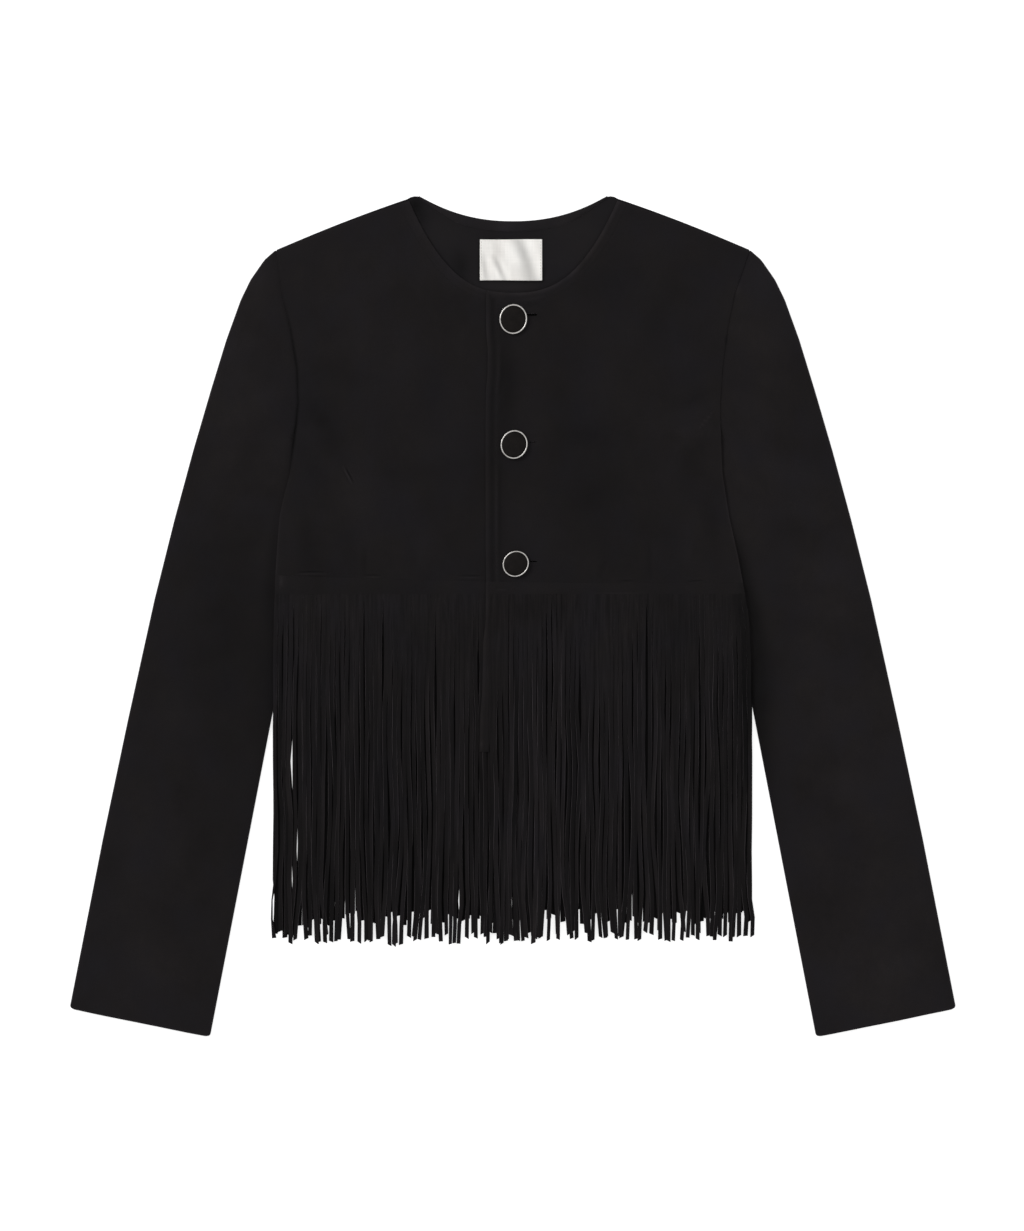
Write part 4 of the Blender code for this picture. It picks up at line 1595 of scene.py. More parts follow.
@dataclass
class WaistBand:
    """The uncut top of a skirt, between the waist seam and the fringe."""

    name: str
    finishes: Finishes
    left_x: float | None
    right_x: float | None
    height: Height
    node: str
    bottom_y: float = 19.0
    half_width: float = 203.0
    depth: float = 13.0

    def place(self, u: Array, v: Array) -> Points:
        """Return where a share across and up the band lies.

        Args:
            u: shares across.
            v: shares along.

        Returns:
            Coordinates of the upper face.
        """
        seam = PATTERN.waist_middle_y
        left = PATTERN.side_x(np.array(seam), Side.LEFT) if self.left_x is None else self.left_x
        right = PATTERN.side_x(np.array(seam), Side.RIGHT) if self.right_x is None else self.right_x
        x = left + u * (right - left)
        top = PATTERN.waist_y(x)
        y = self.bottom_y + v * (top - self.bottom_y)
        if self.left_x is None:
            shift = PATTERN.side_x(y, Side.LEFT) - left
            x = x + shift * (1.0 - ease(x, left, left + 40.0))
        if self.right_x is None:
            shift = PATTERN.side_x(y, Side.RIGHT) - right
            x = x + shift * ease(x, right - 40.0, right)
        gap = top - y
        relief = 0.25 * uneven(x, y) * ease(y - self.bottom_y, 0.0, 6.0) - 0.2 * np.exp(-gap / 0.8)
        relief = relief + 0.12 * UNEVEN_FINE(1.3 * x, y) * bump(gap, 4.0, 3.0)
        ends = np.minimum(x - left, right - x)
        return x, y, self.height(x, y) + FACE + relief - 0.6 * np.exp(-np.abs(ends) / 0.9)

    def build(self) -> Piece:
        """Build and dress the band.

        Returns:
            The band.
        """
        left = -self.half_width if self.left_x is None else self.left_x
        right = self.half_width if self.right_x is None else self.right_x
        columns = graded(right - left, 0.8, 2.2, 2.0, 2.0)
        rows = graded(self.depth, 0.6, 1.6, 1.0, 4.0)
        mesh = laid_grid(columns, rows, self.place)
        add_wall(mesh, WALL, self.height)
        piece = finished(self.name, mesh, self.finishes.suede, self.tone)
        return keep(piece, Slot.SUEDE, self.node)

    def tone(self, x: Array, y: Array) -> Array:
        """Return where the band is light or dark, with painted shade at its right end and lower down,
        and painted glints along the seam.
        """
        shade = 0.35 * ease(x, 186.0, 197.0) + 0.16 * ease(PATTERN.waist_y(x) - y, 4.0, 18.0)
        return clouded(BAND_CLOUDS, x, y) + creased(BAND_SEAM_GLINTS_AND_SHADE, x, y) - shade


@dataclass(frozen=True)
class Stray:
    """A strand that bows out of its row; a negative reach bows towards -X."""

    number: int
    top: float
    bottom: float
    reach: float
    thin: float = 1.0


@dataclass(frozen=True)
class Cut:
    """How the strands of a fringe are cut and how far they wander."""

    tip_y: float
    ragged: float
    slim: tuple[float, float]
    tip_slim: tuple[float, float]
    loose: float
    spread: float
    hem: tuple


@dataclass
class Fringe:
    """Strands cut from a skirt: they wander, turn and gather towards their tips."""

    name: str
    finishes: Finishes
    left_x: float
    right_x: float
    count: int
    height: Height
    node: str
    seed: int
    cut: Cut
    partings: tuple[Parting, ...] = ()
    strays: tuple[Stray, ...] = ()
    late: Parting | None = None
    shade: float = 0.0
    top_y: float = 19.0
    segments: int = 13
    thickness: float = 1.05
    tip_share: float = 0.85
    plumb_y: float = -80.0

    def template(self) -> bpy.types.Mesh:
        """Return a straight strand of four sides, one long and one wide.

        Returns:
            The strand.
        """
        mesh = bmesh.new()
        bmesh.ops.create_cube(mesh, size=1.0)
        bmesh.ops.translate(mesh, vec=(0.0, 0.5, 0.0), verts=mesh.verts)
        long_edges = [edge for edge in mesh.edges if abs(edge.verts[0].co.y - edge.verts[1].co.y) > 0.5]
        bmesh.ops.subdivide_edges(mesh, edges=long_edges, cuts=self.segments - 1, use_grid_fill=True)
        return as_data(f"{self.name}_template", mesh)

    def gathered(self, x: float, y: Array, depth: Array, opened: float) -> Array:
        """Return how far a strand is drawn sideways, together with its neighbours.

        Args:
            x: the middle of the strand.
            y: heights down the strand.
            depth: shares down the strand.
            opened: the share where it comes free.

        Returns:
            The shift along X, in millimetres.
        """
        total = 1.1 * depth**1.5 * LEAN(x, y)
        clumped = self.clump(x, y) * ease(depth, opened, opened + 0.2)
        total += self.cut.loose * (0.25 + 0.5 * depth) * clumped
        total += self.cut.spread * ease(depth, self.tip_share, 1.0) * TIPS(x, 0.2 * y)
        for part in self.partings:
            soft = 0.4 * (part.top - part.bottom)
            begun = ease(-y, -part.top, soft - part.top)
            ended = ease(-y, -part.bottom - soft, -part.bottom)
            away = x - part.x
            moved = np.sign(away) * 0.5 * part.width + part.shift
            total += moved * np.exp(-np.abs(away) / 9.0) * (begun * (1.0 - ended))
        return total

    def build(self) -> Piece:
        """Build and dress the strands.

        Returns:
            All the strands as one piece.
        """
        draw = np.random.default_rng(self.seed)
        self.clump = Ripple(self.seed + 2, 19.0, 170.0)
        strand = self.template()
        mesh = bmesh.new()
        layer = mesh.verts.layers.float.new(TONE)
        for number in range(self.count):
            mesh.from_mesh(strand)
            mesh.verts.ensure_lookup_table()
            verts = mesh.verts[-len(strand.vertices):]
            for vert, tone in zip(verts, self.lay(verts, number, draw)):
                vert[layer] = tone
        bpy.data.meshes.remove(strand)
        piece = finished(self.name, mesh, self.finishes.strands)
        return keep(piece, Slot.SUEDE, self.node)

    def lay(self, verts: list, number: int, draw: np.random.Generator) -> Array:
        """Lay one strand.

        Args:
            verts: the vertices of its straight template.
            number: its place in the row.
            draw: the source of its own differences.

        Returns:
            How light or dark it is at each vertex.
        """
        cut = self.cut
        pitch = (self.right_x - self.left_x) / self.count
        middle = self.left_x + (number + 0.5) * pitch
        local_x, row, local_z = coordinates(verts)
        opened = (self.top_y - float(np.interp(middle, *zip(*OPENINGS)))) / (self.top_y - cut.tip_y)
        opening = max(0.005, opened + draw.uniform(-0.08, 0.06))
        if self.late is not None and abs(middle - self.late.x) < self.late.width / 2.0:
            late = (self.top_y - self.late.bottom) / (self.top_y - cut.tip_y)
            opening = late + draw.uniform(-0.02, 0.02)
        share = np.interp(row, np.linspace(0.0, 1.0, self.segments + 1), self.steps(opening))
        own = Ripple(int(draw.integers(1 << 30)), 90.0, 130.0, 5)
        turn = Ripple(int(draw.integers(1 << 30)), 90.0, 170.0, 5)
        hem = float(np.interp(middle, *zip(*cut.hem)))
        tip = cut.tip_y + hem + cut.ragged * draw.uniform(-1.0, 1.0)
        y = self.top_y + share * (tip - self.top_y)
        free = ease(share, opening, opening + 0.05)
        loose = ease(share, opening, opening + 0.26)
        end = ease(share, self.tip_share, 1.0)
        slim, tip_slim = draw.uniform(*cut.slim), draw.uniform(*cut.tip_slim)
        width = pitch * (1.0 - (free + loose) * 0.5 * (1.0 - slim) + end * (tip_slim - slim))
        x = middle + self.gathered(middle, y, share, opened)
        outer = Side.RIGHT if middle > 0.0 else Side.LEFT
        follow = ease(np.array(abs(middle)), 160.0, 200.0)
        plumb = PATTERN.side_x(np.array(self.plumb_y), outer)
        x = x + follow * (PATTERN.side_x(y, outer) - plumb)
        x = x + cut.loose * loose * (0.18 + 0.35 * share) * own(0.0 * y, y)
        x = x + cut.spread * draw.normal(0.0, 0.95) * end
        hung = PATTERN.side_x(y, Side.LEFT) - PLUMB_LEFT_X
        low = self.left_x - 0.4 + follow * (middle < 0.0) * hung
        x = np.clip(x, low + width / 2.0, self.right_x + 0.4 - width / 2.0)
        for stray in self.strays:
            if stray.number % self.count == number:
                along = np.clip((stray.top - y) / (stray.top - stray.bottom), 0.0, 1.0)
                bowed = np.sin(pi * along) ** 1.3
                x = x + stray.reach * bowed
                width = width * (1.0 - (1.0 - stray.thin) * bowed**0.4)
        angle = np.clip(loose * cut.loose * (0.12 + 0.20 * share) * turn(0.0 * y, y), -0.7, 0.7)
        lift = free * (0.24 if number % 2 else 0.0) + np.abs(np.sin(angle)) * width * 0.42
        across, through = local_x * width, local_z * self.thickness
        slant = draw.uniform(-1.0, 1.0) * (share > 0.999) * local_x * pitch * 0.6
        offset_x = across * np.cos(angle) - through * np.sin(angle)
        offset_z = across * np.sin(angle) + through * np.cos(angle)
        base = self.height(x, y) + FACE - self.thickness / 2.0
        move(verts, x + offset_x, y + slant, base + lift + offset_z)
        # painted shade on the strands at the right side, near the top of the fringe
        side = ease(np.array(middle), 186.0, 196.0) * (1.0 - ease(share, 0.3, 0.6))
        side = side * (0.34 + 0.16 * ease(share, 0.0, 0.1))
        # each strand's random tone, with painted light and shade by how far it is turned
        strand_tone_and_shade = (0.16 * draw.standard_normal() + 0.40 * angle) * loose
        strand_tone_and_shade = strand_tone_and_shade + clouded(FRINGE_CLOUDS, x, y) - side
        return strand_tone_and_shade - 0.19 * ease(share, 0.0, 0.6) - self.shade

    def steps(self, opening: float) -> Array:
        """Return a strand's rows as shares, close where it opens and at its tip."""
        middle = np.linspace(opening + 0.05, 0.84, self.segments - 4)
        return np.concatenate([[0.0, opening], middle, [0.89, 0.945, 1.0]])


FRINGE_CLOUDS = clouds_of(
    (-110, -170, 60, 90, -0.20), (40, -160, 40, 110, 0.08), (150, -40, 40, 50, -0.12),
    (-150, -10, 40, 24, 0.06),
)
OPENINGS = (
    (-203, 10), (-180, 8), (-168, -22), (-158, 4), (-142, -4), (-126, 6), (-112, 12), (-98, -30),
    (-74, -40), (-62, -16), (-45, -30), (-18, -32), (0, -26), (20, -14), (30, 4), (46, -18), (74, -44),
    (96, -40), (107, 12), (117, 8), (130, -38), (158, -12), (180, -24), (203, 6),
)
HEM = (
    (-203, 4), (-196, 3), (-180, 0), (-130, -1), (-60, 0.5), (0, 1.5), (60, 2), (130, 2), (185, 2.6),
    (194, 6.5), (203, 7.5),
)
BACK_HEM = (
    (-203, -17), (-192, -13), (-178, -6), (-160, 0), (0, 1), (203, 2),
)
PLUMB_LEFT_X = -203.6  # where the left side of the skirt hangs straight down
SKIRT_LEFT_X, SKIRT_RIGHT_X = -203.4, 202.7
LEAN = Ripple(301, 60.0, 210.0)
TIPS = Ripple(302, 13.0, 60.0)
FRONT_CUT = Cut(PATTERN.fringe_y - 2.0, 5.0, (0.72, 0.95), (0.70, 0.96), 2.0, 1.5, HEM)
BACK_CUT = Cut(PATTERN.back_fringe_y - 4.5, 6.5, (1.08, 1.14), (1.01, 1.09), 0.0, 0.2, BACK_HEM)


# ---------------------------------------------------------------------- trim


@dataclass
class EdgeStrip:
    """The plain turned strip that runs on down the edge of the upper skirt."""

    finishes: Finishes
    left_x: float = -27.6
    right_x: float = -20.0
    end_y: float = -115.0
    drift: tuple = (
        (32, 4.4), (-4, 4.2), (-22, 2.2), (-66, 1.4), (-84, -0.4), (-115, -0.9),
    )

    def place(self, u: Array, v: Array) -> Points:
        """Return where a share across and up the strip lies.

        Args:
            u: shares across.
            v: shares along.

        Returns:
            Coordinates of the upper face.
        """
        x = self.left_x + u * (self.right_x - self.left_x)
        top = PATTERN.waist_y(x)
        y = self.end_y + v * (top - self.end_y)
        x = x + (1.0 - 0.6 * u) * read(self.drift, y, 1) + 0.25 * UNEVEN_BROAD(0.0 * y, 1.6 * y)
        edge = np.minimum(u, 1.0 - u) * (self.right_x - self.left_x)
        relief = -0.6 * np.exp(-edge / 0.7) - 0.3 * bump(u, 0.6, 0.12) + 0.12 * UNEVEN_SMALL(x, y)
        relief = relief - 0.5 * np.exp(-(y - self.end_y) / 0.8)
        return x, y, self.floor(x, y) + FACE + relief

    def floor(self, x: Array, y: Array) -> Array:
        """Return the underside of the strip."""
        return LAY.front(x, y) + LAY.lap_rise

    def build(self) -> Piece:
        """Build and dress the strip.

        Returns:
            The strip.
        """
        columns = np.linspace(0.0, 1.0, 13)
        rows = graded(146.0, 0.6, 2.0, 3.0, 2.0)
        mesh = laid_grid(columns, rows, self.place)
        add_wall(mesh, WALL, self.floor)
        piece = finished("front_edge_facing_strip", mesh, self.finishes.suede, self.tone)
        return keep(piece, Slot.SUEDE, "front_edge_strip")

    def tone(self, x: Array, y: Array) -> Array:
        """Return the rubbed nap and painted highlight along the fold, a painted glint at the tack, and
        darker away from the fold and at the strip's end.

        Args:
            x: places across.
            y: places along.

        Returns:
            The tone, above 0 where lighter.
        """
        left = self.left_x + read(self.drift, y, 1)
        # painted glint at the bartack
        tack_glint = 0.9 * bump(x, left + 1.6, 0.8) * bump(y, self.end_y + 7.0, 2.0)
        rub_and_highlight = 0.34 * bump(x, left + 1.4, 1.5) - 0.12 * ease(x, left + 4.0, left + 7.0)
        return rub_and_highlight + tack_glint - 0.4 * np.exp(-(y - self.end_y) / 3.0) + 0.08 * UNEVEN_SMALL(x, y)


@dataclass
class NeckTrim:
    """The facing round the back of the neck, and the plain ribbon label below it."""

    finishes: Finishes
    facing_half: float = 80.0
    facing_width: float = 8.5
    label_size: Point = PATTERN.label_size
    label_centre: Point = PATTERN.label_centre

    def facing_place(self, u: Array, v: Array) -> Points:
        """Return where a share along and up the facing lies.

        Args:
            u: shares across.
            v: shares along.

        Returns:
            Coordinates of the upper face.
        """
        x = (2.0 * u - 1.0) * self.facing_half
        taper = 1.0 - 0.75 * ease(np.abs(x), 40.0, self.facing_half)
        y = PATTERN.back_neck(x) - SEAM - self.facing_width * (1.0 - v) * taper
        relief = 0.12 * bump(v, 0.6, 0.3) - 1.05 * np.exp(-v / 0.24) - 0.4 * np.exp(-(1.0 - v) / 0.07)
        relief = relief + 0.08 * UNEVEN_FINE(x, y)
        return x, y, PLY + 0.85 + relief * (0.4 + 0.6 * taper) - 0.35 * (1.0 - taper)

    def facing(self) -> Piece:
        """Build and dress the facing.

        Returns:
            The facing.
        """
        columns = np.linspace(0.0, 1.0, 97)
        rows = np.linspace(0.0, 1.0, 15)
        mesh = laid_grid(columns, rows, self.facing_place)
        add_wall(mesh, 1.0, lambda x, y: PLY + 0.0 * x)
        piece = finished("back_neck_binding", mesh, self.finishes.inside, self.facing_tone)
        return keep(piece, Slot.INSIDE, "back_neck_facing")

    def facing_tone(self, x: Array, y: Array) -> Array:
        """Return how light the facing is: rubbed most at the middle of the neck."""
        rubbed = 0.24 + 0.50 * bump(x, -6.5, 11.0) + 0.14 * bump(x, -60.0, 24.0)
        return rubbed + 0.08 * UNEVEN_SMALL(x, y)

    def label_place(self, u: Array, v: Array) -> Points:
        """Return where a share across and up the label lies.

        Args:
            u: shares across.
            v: shares along.

        Returns:
            Coordinates of the upper face.
        """
        x = self.label_centre[0] + (u - 0.5) * self.label_size[0]
        y = self.label_centre[1] + (v - 0.5) * self.label_size[1]
        edge = np.minimum(
            np.minimum(u, 1.0 - u) * self.label_size[0], np.minimum(v, 1.0 - v) * self.label_size[1]
        )
        wave = 0.12 + 0.20 * np.sin(0.16 * (x + 0.7 * y)) + 0.10 * UNEVEN_SMALL(x, y)
        wave = wave + creased(LABEL_FOLDS, x, y)
        relief = np.clip(wave, -0.3, 0.5) * ease(edge, 0.5, 6.0) - 0.35 * np.exp(-edge / 0.6)
        sway = 0.25 * np.sin(0.11 * x)
        return x, y + sway * (v - 0.5), PLY + 0.95 + relief

    def label_fold_shade(self, x: Array, y: Array) -> Array:
        """Return the painted shade where the satin dips in its folds, a little darker all over."""
        return creased(LABEL_FOLDS, x, y) - 0.06

    def label(self) -> Piece:
        """Build and dress the label, which is left bare.

        Returns:
            The label.
        """
        columns = graded(self.label_size[0], 0.5, 1.3, 1.5, 1.5)
        rows = graded(self.label_size[1], 0.5, 1.3, 1.5, 1.5)
        mesh = laid_grid(columns, rows, self.label_place)
        add_wall(mesh, 0.7, lambda x, y: PLY - 0.2 + 0.0 * x)
        piece = finished("neck_label_ribbon", mesh, self.finishes.ribbon, self.label_fold_shade)
        return keep(piece, Slot.LABEL, "neck_label")


LABEL_FOLDS = creases_of(
    (-3, 332, 12, 307, 20, 274, 4.8, -0.36), (1, 301, 8, 292, 13, 281, 5.4, -0.18),
    (-18, 308, -11.5, 297, -5.5, 281, 2.2, -0.30), (-26, 310, -24.6, 296, -21, 280, 2.4, -0.22),
    (-16, 320, -13, 309, -12, 298, 3.6, -0.10),
)


@dataclass
class Button:
    """One shank button: a beaded metal base and a black domed face."""

    name: str
    x: float
    y: float
    finishes: Finishes
    stretch: Point = (1.0, 1.0)
    turn: float = 0.0
    lean: tuple[float, float] = (0.0, 0.0)
    radius: float = 12.0
    rim_width: float = 1.45
    rim_height: float = 3.4
    plate_wall: float = 0.8
    plate_ease: float = 0.2
    dome_rise: float = 1.1
    shank_radius: float = 2.0
    flat_radius: float = 8.0
    sides: int = 72

    def arc(self, centre: Point, radius: Point, start: float, end: float, steps: int) -> list[Point]:
        """Return points on part of an ellipse, with its angles in degrees."""
        turns = [radians(start + (end - start) * step / steps) for step in range(steps + 1)]
        return [(centre[0] + radius[0] * cos(turn), centre[1] + radius[1] * sin(turn)) for turn in turns]

    def turned(self, profile: list[Point]) -> Draft:
        """Turn a profile of radius and height, which starts and ends on the axis.

        Args:
            profile: its points.

        Returns:
            The turned draft.
        """
        mesh = bmesh.new()
        points = [mesh.verts.new((radius, 0.0, height)) for radius, height in profile]
        line = [mesh.edges.new(pair) for pair in zip(points, points[1:])]
        bmesh.ops.spin(
            mesh,
            geom=points + line,
            cent=(0.0, 0.0, 0.0),
            axis=(0.0, 0.0, 1.0),
            angle=2.0 * pi,
            steps=self.sides,
            use_merge=True,
        )
        bmesh.ops.remove_doubles(mesh, verts=mesh.verts, dist=0.001)
        return mesh

    def seat(self, mesh: Draft, plate: float) -> None:
        """Lean the button a little, out of round as it is, and put it in its place.

        Args:
            mesh: the button, standing at the origin.
            plate: the height of the cloth under its plate.
        """
        shape = Matrix.Rotation(radians(self.turn), 4, "Z") @ Matrix.Diagonal((*self.stretch, 1.0, 1.0))
        bmesh.ops.transform(mesh, matrix=shape, verts=mesh.verts)
        lean_x, lean_y = (radians(angle) for angle in self.lean)
        tilt = Matrix.Rotation(lean_x, 4, "X") @ Matrix.Rotation(lean_y, 4, "Y")
        top = [vert for vert in mesh.verts if vert.co.z > -0.01]
        bmesh.ops.transform(mesh, matrix=tilt, verts=top)
        bmesh.ops.translate(mesh, vec=(self.x, self.y, plate), verts=mesh.verts)

    def build(self) -> list[Piece]:
        """Build and dress both pieces of the button.

        Returns:
            The metal piece and the black one.
        """
        here = np.array([self.x]), np.array([self.y])
        plate = float(LAY.lapping(*here)[0]) + PLY + self.plate_ease
        foot = float(LAY.front(*here)[0]) + PLY - plate
        inner = self.radius - self.rim_width
        bead = self.rim_width / 2.0
        shank = self.shank_radius
        base = [(0.0, foot), (shank, foot), (shank, -0.02), (self.flat_radius, 0.0)]
        base += self.arc((self.radius - 1.6, 1.5), (1.6, 1.5), -90.0, 0.0, 6)
        base += self.arc((self.radius - bead, self.rim_height - bead), (bead, bead), 0.0, 180.0, 14)
        base += [(inner + 0.15, 1.6), (inner - 0.3, self.plate_wall), (0.0, self.plate_wall)]
        shell = self.turned(base)
        self.seat(shell, plate)
        metal = finished(f"button_{self.name}_shell", shell, self.finishes.metal)
        keep(metal, Slot.METAL, f"button_{self.name}_base")
        edge = inner - 0.1
        low = self.plate_wall + 0.05
        face = [(0.0, low), (edge - 0.4, low), (edge, low + 0.4), (edge, self.rim_height - 1.25)]
        dome = self.rim_height - 1.0
        turns = np.radians(np.arange(8, 90, 9))
        face += [(edge * cos(turn), dome + self.dome_rise * sin(turn)) for turn in turns]
        face += [(0.0, dome + self.dome_rise)]
        cap = self.turned(face)
        self.seat(cap, plate)
        enamel = finished(f"button_{self.name}_face", cap, self.finishes.enamel)
        keep(enamel, Slot.BLACK, f"button_{self.name}_centre")
        return [metal, enamel]


@dataclass
class Stitching:
    """Rows of stitches, each a small spindle of thread half sunk in the suede."""

    finishes: Finishes
    front: FrontPanel
    under: FrontPanel
    trim: NeckTrim
    length: float = 2.5
    pitch: float = 3.3
    label_pitch: float = 2.4
    label_inset: float = 1.2
    width: float = 0.62
    stand: float = 0.06

    def template(self) -> bpy.types.Mesh:
        """Return one stitch lying along X, one long and one thick.

        Returns:
            The stitch.
        """
        mesh = bmesh.new()
        bmesh.ops.create_uvsphere(mesh, u_segments=6, v_segments=4, radius=0.5)
        turn = Matrix.Rotation(pi / 2.0, 3, "Y")
        bmesh.ops.rotate(mesh, cent=(0, 0, 0), matrix=turn, verts=mesh.verts)
        return as_data("stitch_template", mesh)

    def sew(
        self, mesh: Draft, stitch: bpy.types.Mesh, line: Edge, surface: Height, pitch: float
    ) -> None:
        """Sew a row of stitches.

        Args:
            mesh: the mesh that takes the stitches.
            stitch: the template of a stitch.
            line: where the row runs.
            surface: the height of the cloth there.
            pitch: the distance from one stitch to the next.
        """
        count = int(line.length / pitch)
        along = (np.arange(count) + 0.5) * line.length / count
        xs, ys = line.at(along)
        dxs, dys = line.heading(along)
        zs = surface(xs, ys)
        size = Matrix.Diagonal((self.length * pitch / self.pitch, self.width, self.width * 0.7, 1.0))
        for x, y, z, dx, dy in zip(xs, ys, zs, dxs, dys):
            mesh.from_mesh(stitch)
            mesh.verts.ensure_lookup_table()
            verts = mesh.verts[-len(stitch.vertices):]
            turn = Matrix(((dx, -dy, 0.0), (dy, dx, 0.0), (0.0, 0.0, 1.0))).to_4x4()
            place = Matrix.Translation(Vector((x, y, z + self.stand)))
            bmesh.ops.transform(mesh, matrix=place @ turn @ size, verts=verts)

    def build(self) -> list[Piece]:
        """Build and dress the stitches in black, and those of the label.

        Returns:
            The black stitches and the white ones.
        """
        stitch = self.template()
        mesh = bmesh.new()
        steps = PATTERN.edge_steps
        neck = self.front.opening.beside(-self.front.neck_inset).points[steps:]
        neck = neck[neck[:, 0] > self.front.opening_x + self.front.stitch_inset]
        foot = self.front.opening.beside(-self.front.stitch_inset).points[:steps]
        foot = np.concatenate([foot[foot[:, 1] < neck[0, 1] - 2.0], neck[:1]])
        self.sew(mesh, stitch, Edge(foot), self.front.surface, self.pitch)
        self.sew(mesh, stitch, Edge(neck), self.front.surface, self.pitch)
        neck = self.under.opening.beside(self.under.neck_inset).points
        shown = neck[neck[:, 0] < PATTERN.lap_edge_x - 1.0]
        self.sew(mesh, stitch, Edge(shown), self.under.surface, self.pitch)
        black = finished("edge_stitches", mesh, self.finishes.thread)
        keep(black, Slot.SUEDE)
        mesh = bmesh.new()
        half_width, half_height = (size / 2.0 - self.label_inset for size in self.trim.label_size)
        centre = self.trim.label_centre
        for way in (-1.0, 1.0):
            x = centre[0] + way * half_width
            line = Edge(np.array([[x, centre[1] - half_height], [x, centre[1] + half_height]]))
            self.sew(mesh, stitch, line, lambda x, y: PLY + 0.85 + 0.0 * x, self.label_pitch)
        white = finished("label_stitches", mesh, self.finishes.label_thread)
        keep(white, Slot.LABEL)
        bpy.data.meshes.remove(stitch)
        return [black, white]


# -------------------------------------------------------------------- studio


@dataclass
class Studio:
    """A plain pale floor, soft light from all round, and a camera straight above."""

    view_centre: Point = (-0.0009, 0.0009)
    view_height: float = 1.04635
    lens: float = 90.0
    sensor: float = 36.0
    floor_half: float = 9.0
    floor_depth: float = 0.0003

    def floor(self) -> Piece:
        """Lay the floor just under the jacket.

        Returns:
            The floor.
        """
        nodes = Nodes("pale_floor")
        cloud = nodes.noise(3.0, 2.0)
        dull, bright = (0.55, 0.55, 0.55, 1.0), (0.57, 0.57, 0.57, 1.0)
        colour = nodes.blend(nodes.span(cloud, 0.0, 1.0), dull, bright)
        material = nodes.shade(
            base_color=colour,
            roughness=0.9,
            specular_ior_level=0.0,
            emission_color=(1.0, 1.0, 1.0, 1.0),
            emission_strength=0.68,
        )
        mesh = bmesh.new()
        bmesh.ops.create_grid(mesh, x_segments=1, y_segments=1, size=self.floor_half)
        bmesh.ops.translate(mesh, vec=(0.0, 0.0, -self.floor_depth), verts=mesh.verts)
        data = as_data("floor", mesh)
        data.materials.append(material)
        floor = linked("floor", data)
        return floor

    def light(self, name: str, place: tuple, size: Point, power: float) -> Piece:
        """Hang a soft light that points at the jacket.

        Args:
            name: its name.
            place: where it hangs, in metres.
            size: its width and length in metres.
            power: its power in watts.

        Returns:
            The light.
        """
        data = bpy.data.lights.new(name, "AREA")
        data.shape = "RECTANGLE"
        data.size, data.size_y = size
        data.energy = power
        lamp = linked(name, data)
        lamp.location = place
        lamp.rotation_euler = (-Vector(place)).to_track_quat("-Z", "Y").to_euler()
        lamp.visible_camera = False
        return lamp

    def camera(self) -> Piece:
        """Hang the camera straight above the jacket.

        Returns:
            The camera.
        """
        data = bpy.data.cameras.new("camera")
        data.lens = self.lens
        data.sensor_width = self.sensor
        data.clip_end = 100.0
        camera = linked("camera", data)
        camera.location = (*self.view_centre, self.view_height * self.lens / self.sensor)
        bpy.context.scene.camera = camera
        return camera

    def build(self) -> None:
        """Light the studio and hang the camera."""
        self.light("key", (-3.2, 2.2, 3.8), (2.4, 2.0), 130.0)
        self.light("fill", (0.6, -0.3, 3.6), (4.5, 4.5), 60.0)
        world = bpy.data.worlds.new("studio")
        world.use_nodes = True
        background = world.node_tree.nodes["Background"]
        background.inputs["Color"].default_value = (1.0, 1.0, 1.0, 1.0)
        background.inputs["Strength"].default_value = 0.42
        bpy.context.scene.world = world
        bpy.context.scene.view_settings.view_transform = "Standard"
        self.camera()


# ---------------------------------------------------------------------- main

FRONT_PARTINGS = partings_of(
    (-187.2, -104, -154, 2.7, -1.2), (-183.2, -188, -210, 2), (-187.2, -221.5, -232, 1.8),
    (-45.4, -224, -254, 2.6), (-205, -222, -264, 4.4), (-195.3, 10, -70, 1.4), (-191.3, 14, -75, 1.6),
    (-187.2, 18, -60, 1.2), (-161.5, 20, -66, 1), (-157, -100, -222, 2.4), (-142, 0, -75, 1),
    (-125, 22, -24, 0.8), (-111.8, 18, -90, 2.2), (-102.4, -28, -100, 1.4), (-65, -14, -100, 1.6),
    (-28.8, -16, -84, 2.2), (-3.5, -24, -100, 1.2), (20.4, -14, -100, 1.4), (31, 8, -32, 1),
    (58, -48, -110, 1.2), (93.5, -48, -110, 1.2), (112, 20, -75, 1.6), (131, -40, -92, 1),
    (158.4, -14, -70, 1.4),
)
BACK_PARTINGS = FRONT_PARTINGS[:5]


@dataclass(frozen=True)
class Cloth:
    """A flat cut: its width and length in metres, and its area where it isn't a rectangle."""

    flat: tuple[float, float]
    area: float | None = None


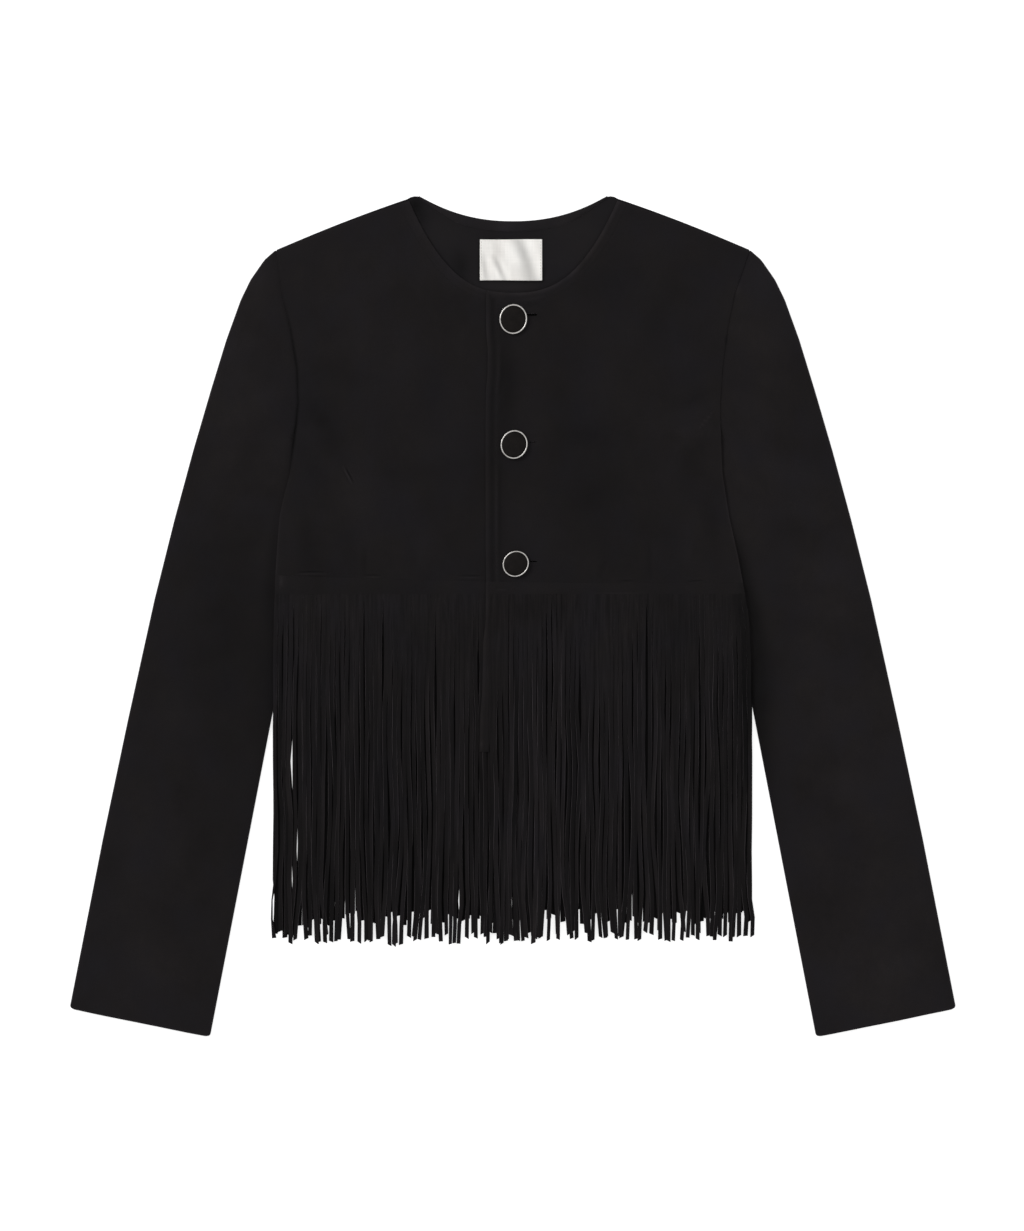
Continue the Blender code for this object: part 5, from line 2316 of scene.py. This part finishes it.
class Jacket:
    """The whole jacket, piece by piece in the order it lies on the table."""

    def __init__(self) -> None:
        """Make the finishes and the parts that others refer to."""
        self.finishes = Finishes()
        self.left = FrontPanel(
            Side.LEFT,
            self.finishes,
            PATTERN.underlap_edge_x,
            LAY.front,
            LEFT_CREASES,
            LEFT_TONE_AND_SHADE,
            LEFT_SEAM_SHADING,
            neck_rub_and_highlight=0.3,
            neck_band=0.18,
            welts=LEFT_WELTS,
            mark=(-140.0, 121.0, 8.0),
        )
        self.right = FrontPanel(
            Side.RIGHT,
            self.finishes,
            PATTERN.lap_edge_x,
            LAY.lapping,
            RIGHT_CREASES,
            RIGHT_TONE_AND_SHADE,
            RIGHT_SEAM_SHADING,
            neck_rub_and_highlight=0.85,
            neck_band=0.14,
            welts=RIGHT_WELTS,
            mark=(165.0, 167.0, 8.0),
            shoulder_rub_and_highlight=0.8,
            buttonholes=BUTTONHOLES,
        )
        self.trim = NeckTrim(self.finishes)

    def body(self) -> None:
        """Build the back and the fronts."""
        self.back_panel = BackPanel(self.finishes).build()
        self.front_left = self.left.build()
        self.front_right = self.right.build()

    def sleeves(self) -> None:
        """Build both sleeves."""
        left = Sleeve(Side.LEFT, self.finishes, LEFT_SLEEVE_CREASES)
        left.clouds, left.seam_shading, left.shadow = LEFT_SLEEVE_CLOUDS, LEFT_SEAM_SHADING, 0.32
        left.outward = 0.4
        right = Sleeve(Side.RIGHT, self.finishes, RIGHT_SLEEVE_CREASES)
        right.clouds, right.seam_shading, right.shadow = RIGHT_SLEEVE_CLOUDS, RIGHT_SEAM_SHADING, 0.76
        self.tubes = [left.build(), right.build()]

    def skirts(self) -> None:
        """Build the fringed skirts and the strip at their edge."""
        left, right = SKIRT_LEFT_X, SKIRT_RIGHT_X
        under, over = PATTERN.underlap_edge_x, EdgeStrip.right_x
        nodes = ("back_fringe", "front_left_fringe", "front_right_fringe")
        suede = self.finishes
        self.bands = [
            WaistBand("back_waist_band", suede, None, None, LAY.back, nodes[0]).build(),
            WaistBand("front_left_waist_band", suede, None, under, LAY.front, nodes[1]).build(),
            WaistBand("front_right_waist_band", suede, over, None, LAY.lapping, nodes[2]).build(),
        ]
        back = Fringe("back_strands", suede, left, right, 100, LAY.back, nodes[0], 71, BACK_CUT)
        below = Fringe("front_left_strands", suede, left, under, 56, LAY.front, nodes[1], 72, FRONT_CUT)
        height = LAY.lapping
        above = Fringe("front_right_strands", suede, over, right, 55, height, nodes[2], 73, FRONT_CUT)
        back.partings = BACK_PARTINGS
        below.partings = above.partings = FRONT_PARTINGS
        below.strays = (Stray(0, -222.0, -268.0, -3.3, 0.32),)
        above.late = Parting(-13.0, 0.0, -60.0, 15.0)
        back.shade = 0.5
        below.shade = above.shade = 0.14
        above.strays = (Stray(-1, -234.0, -284.0, 3.4), Stray(-2, -234.0, -284.0, 2.8))
        self.strands = [fringe.build() for fringe in (back, below, above)]
        self.strip = EdgeStrip(self.finishes).build()

    def fastenings(self) -> None:
        """Build the neck trim, the buttons and the stitching."""
        self.binding = self.trim.facing()
        self.label = self.trim.label()
        Button("top", 0.2, 251.8, self.finishes, (0.985, 1.065), -8.0).build()
        Button("middle", 0.9, 145.6, self.finishes, (0.955, 1.03), -18.0).build()
        Button("waist", 2.4, 44.7, self.finishes, (0.90, 0.965), -50.0, lean=(2.0, -3.0)).build()
        self.seams = Stitching(self.finishes, self.right, self.left, self.trim).build()

    def build(self, floor: Piece) -> None:
        """Build everything in order on a floor.

        Args:
            floor: the floor.
        """
        self.floor = floor
        self.body()
        self.sleeves()
        self.skirts()
        self.fastenings()


def main() -> None:
    """Load the frame, and build the jacket and the studio."""
    logging.basicConfig(level=logging.INFO, format="%(message)s")
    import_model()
    studio = Studio()
    Jacket().build(studio.floor())
    studio.build()


if __name__ == "__main__":
    main()
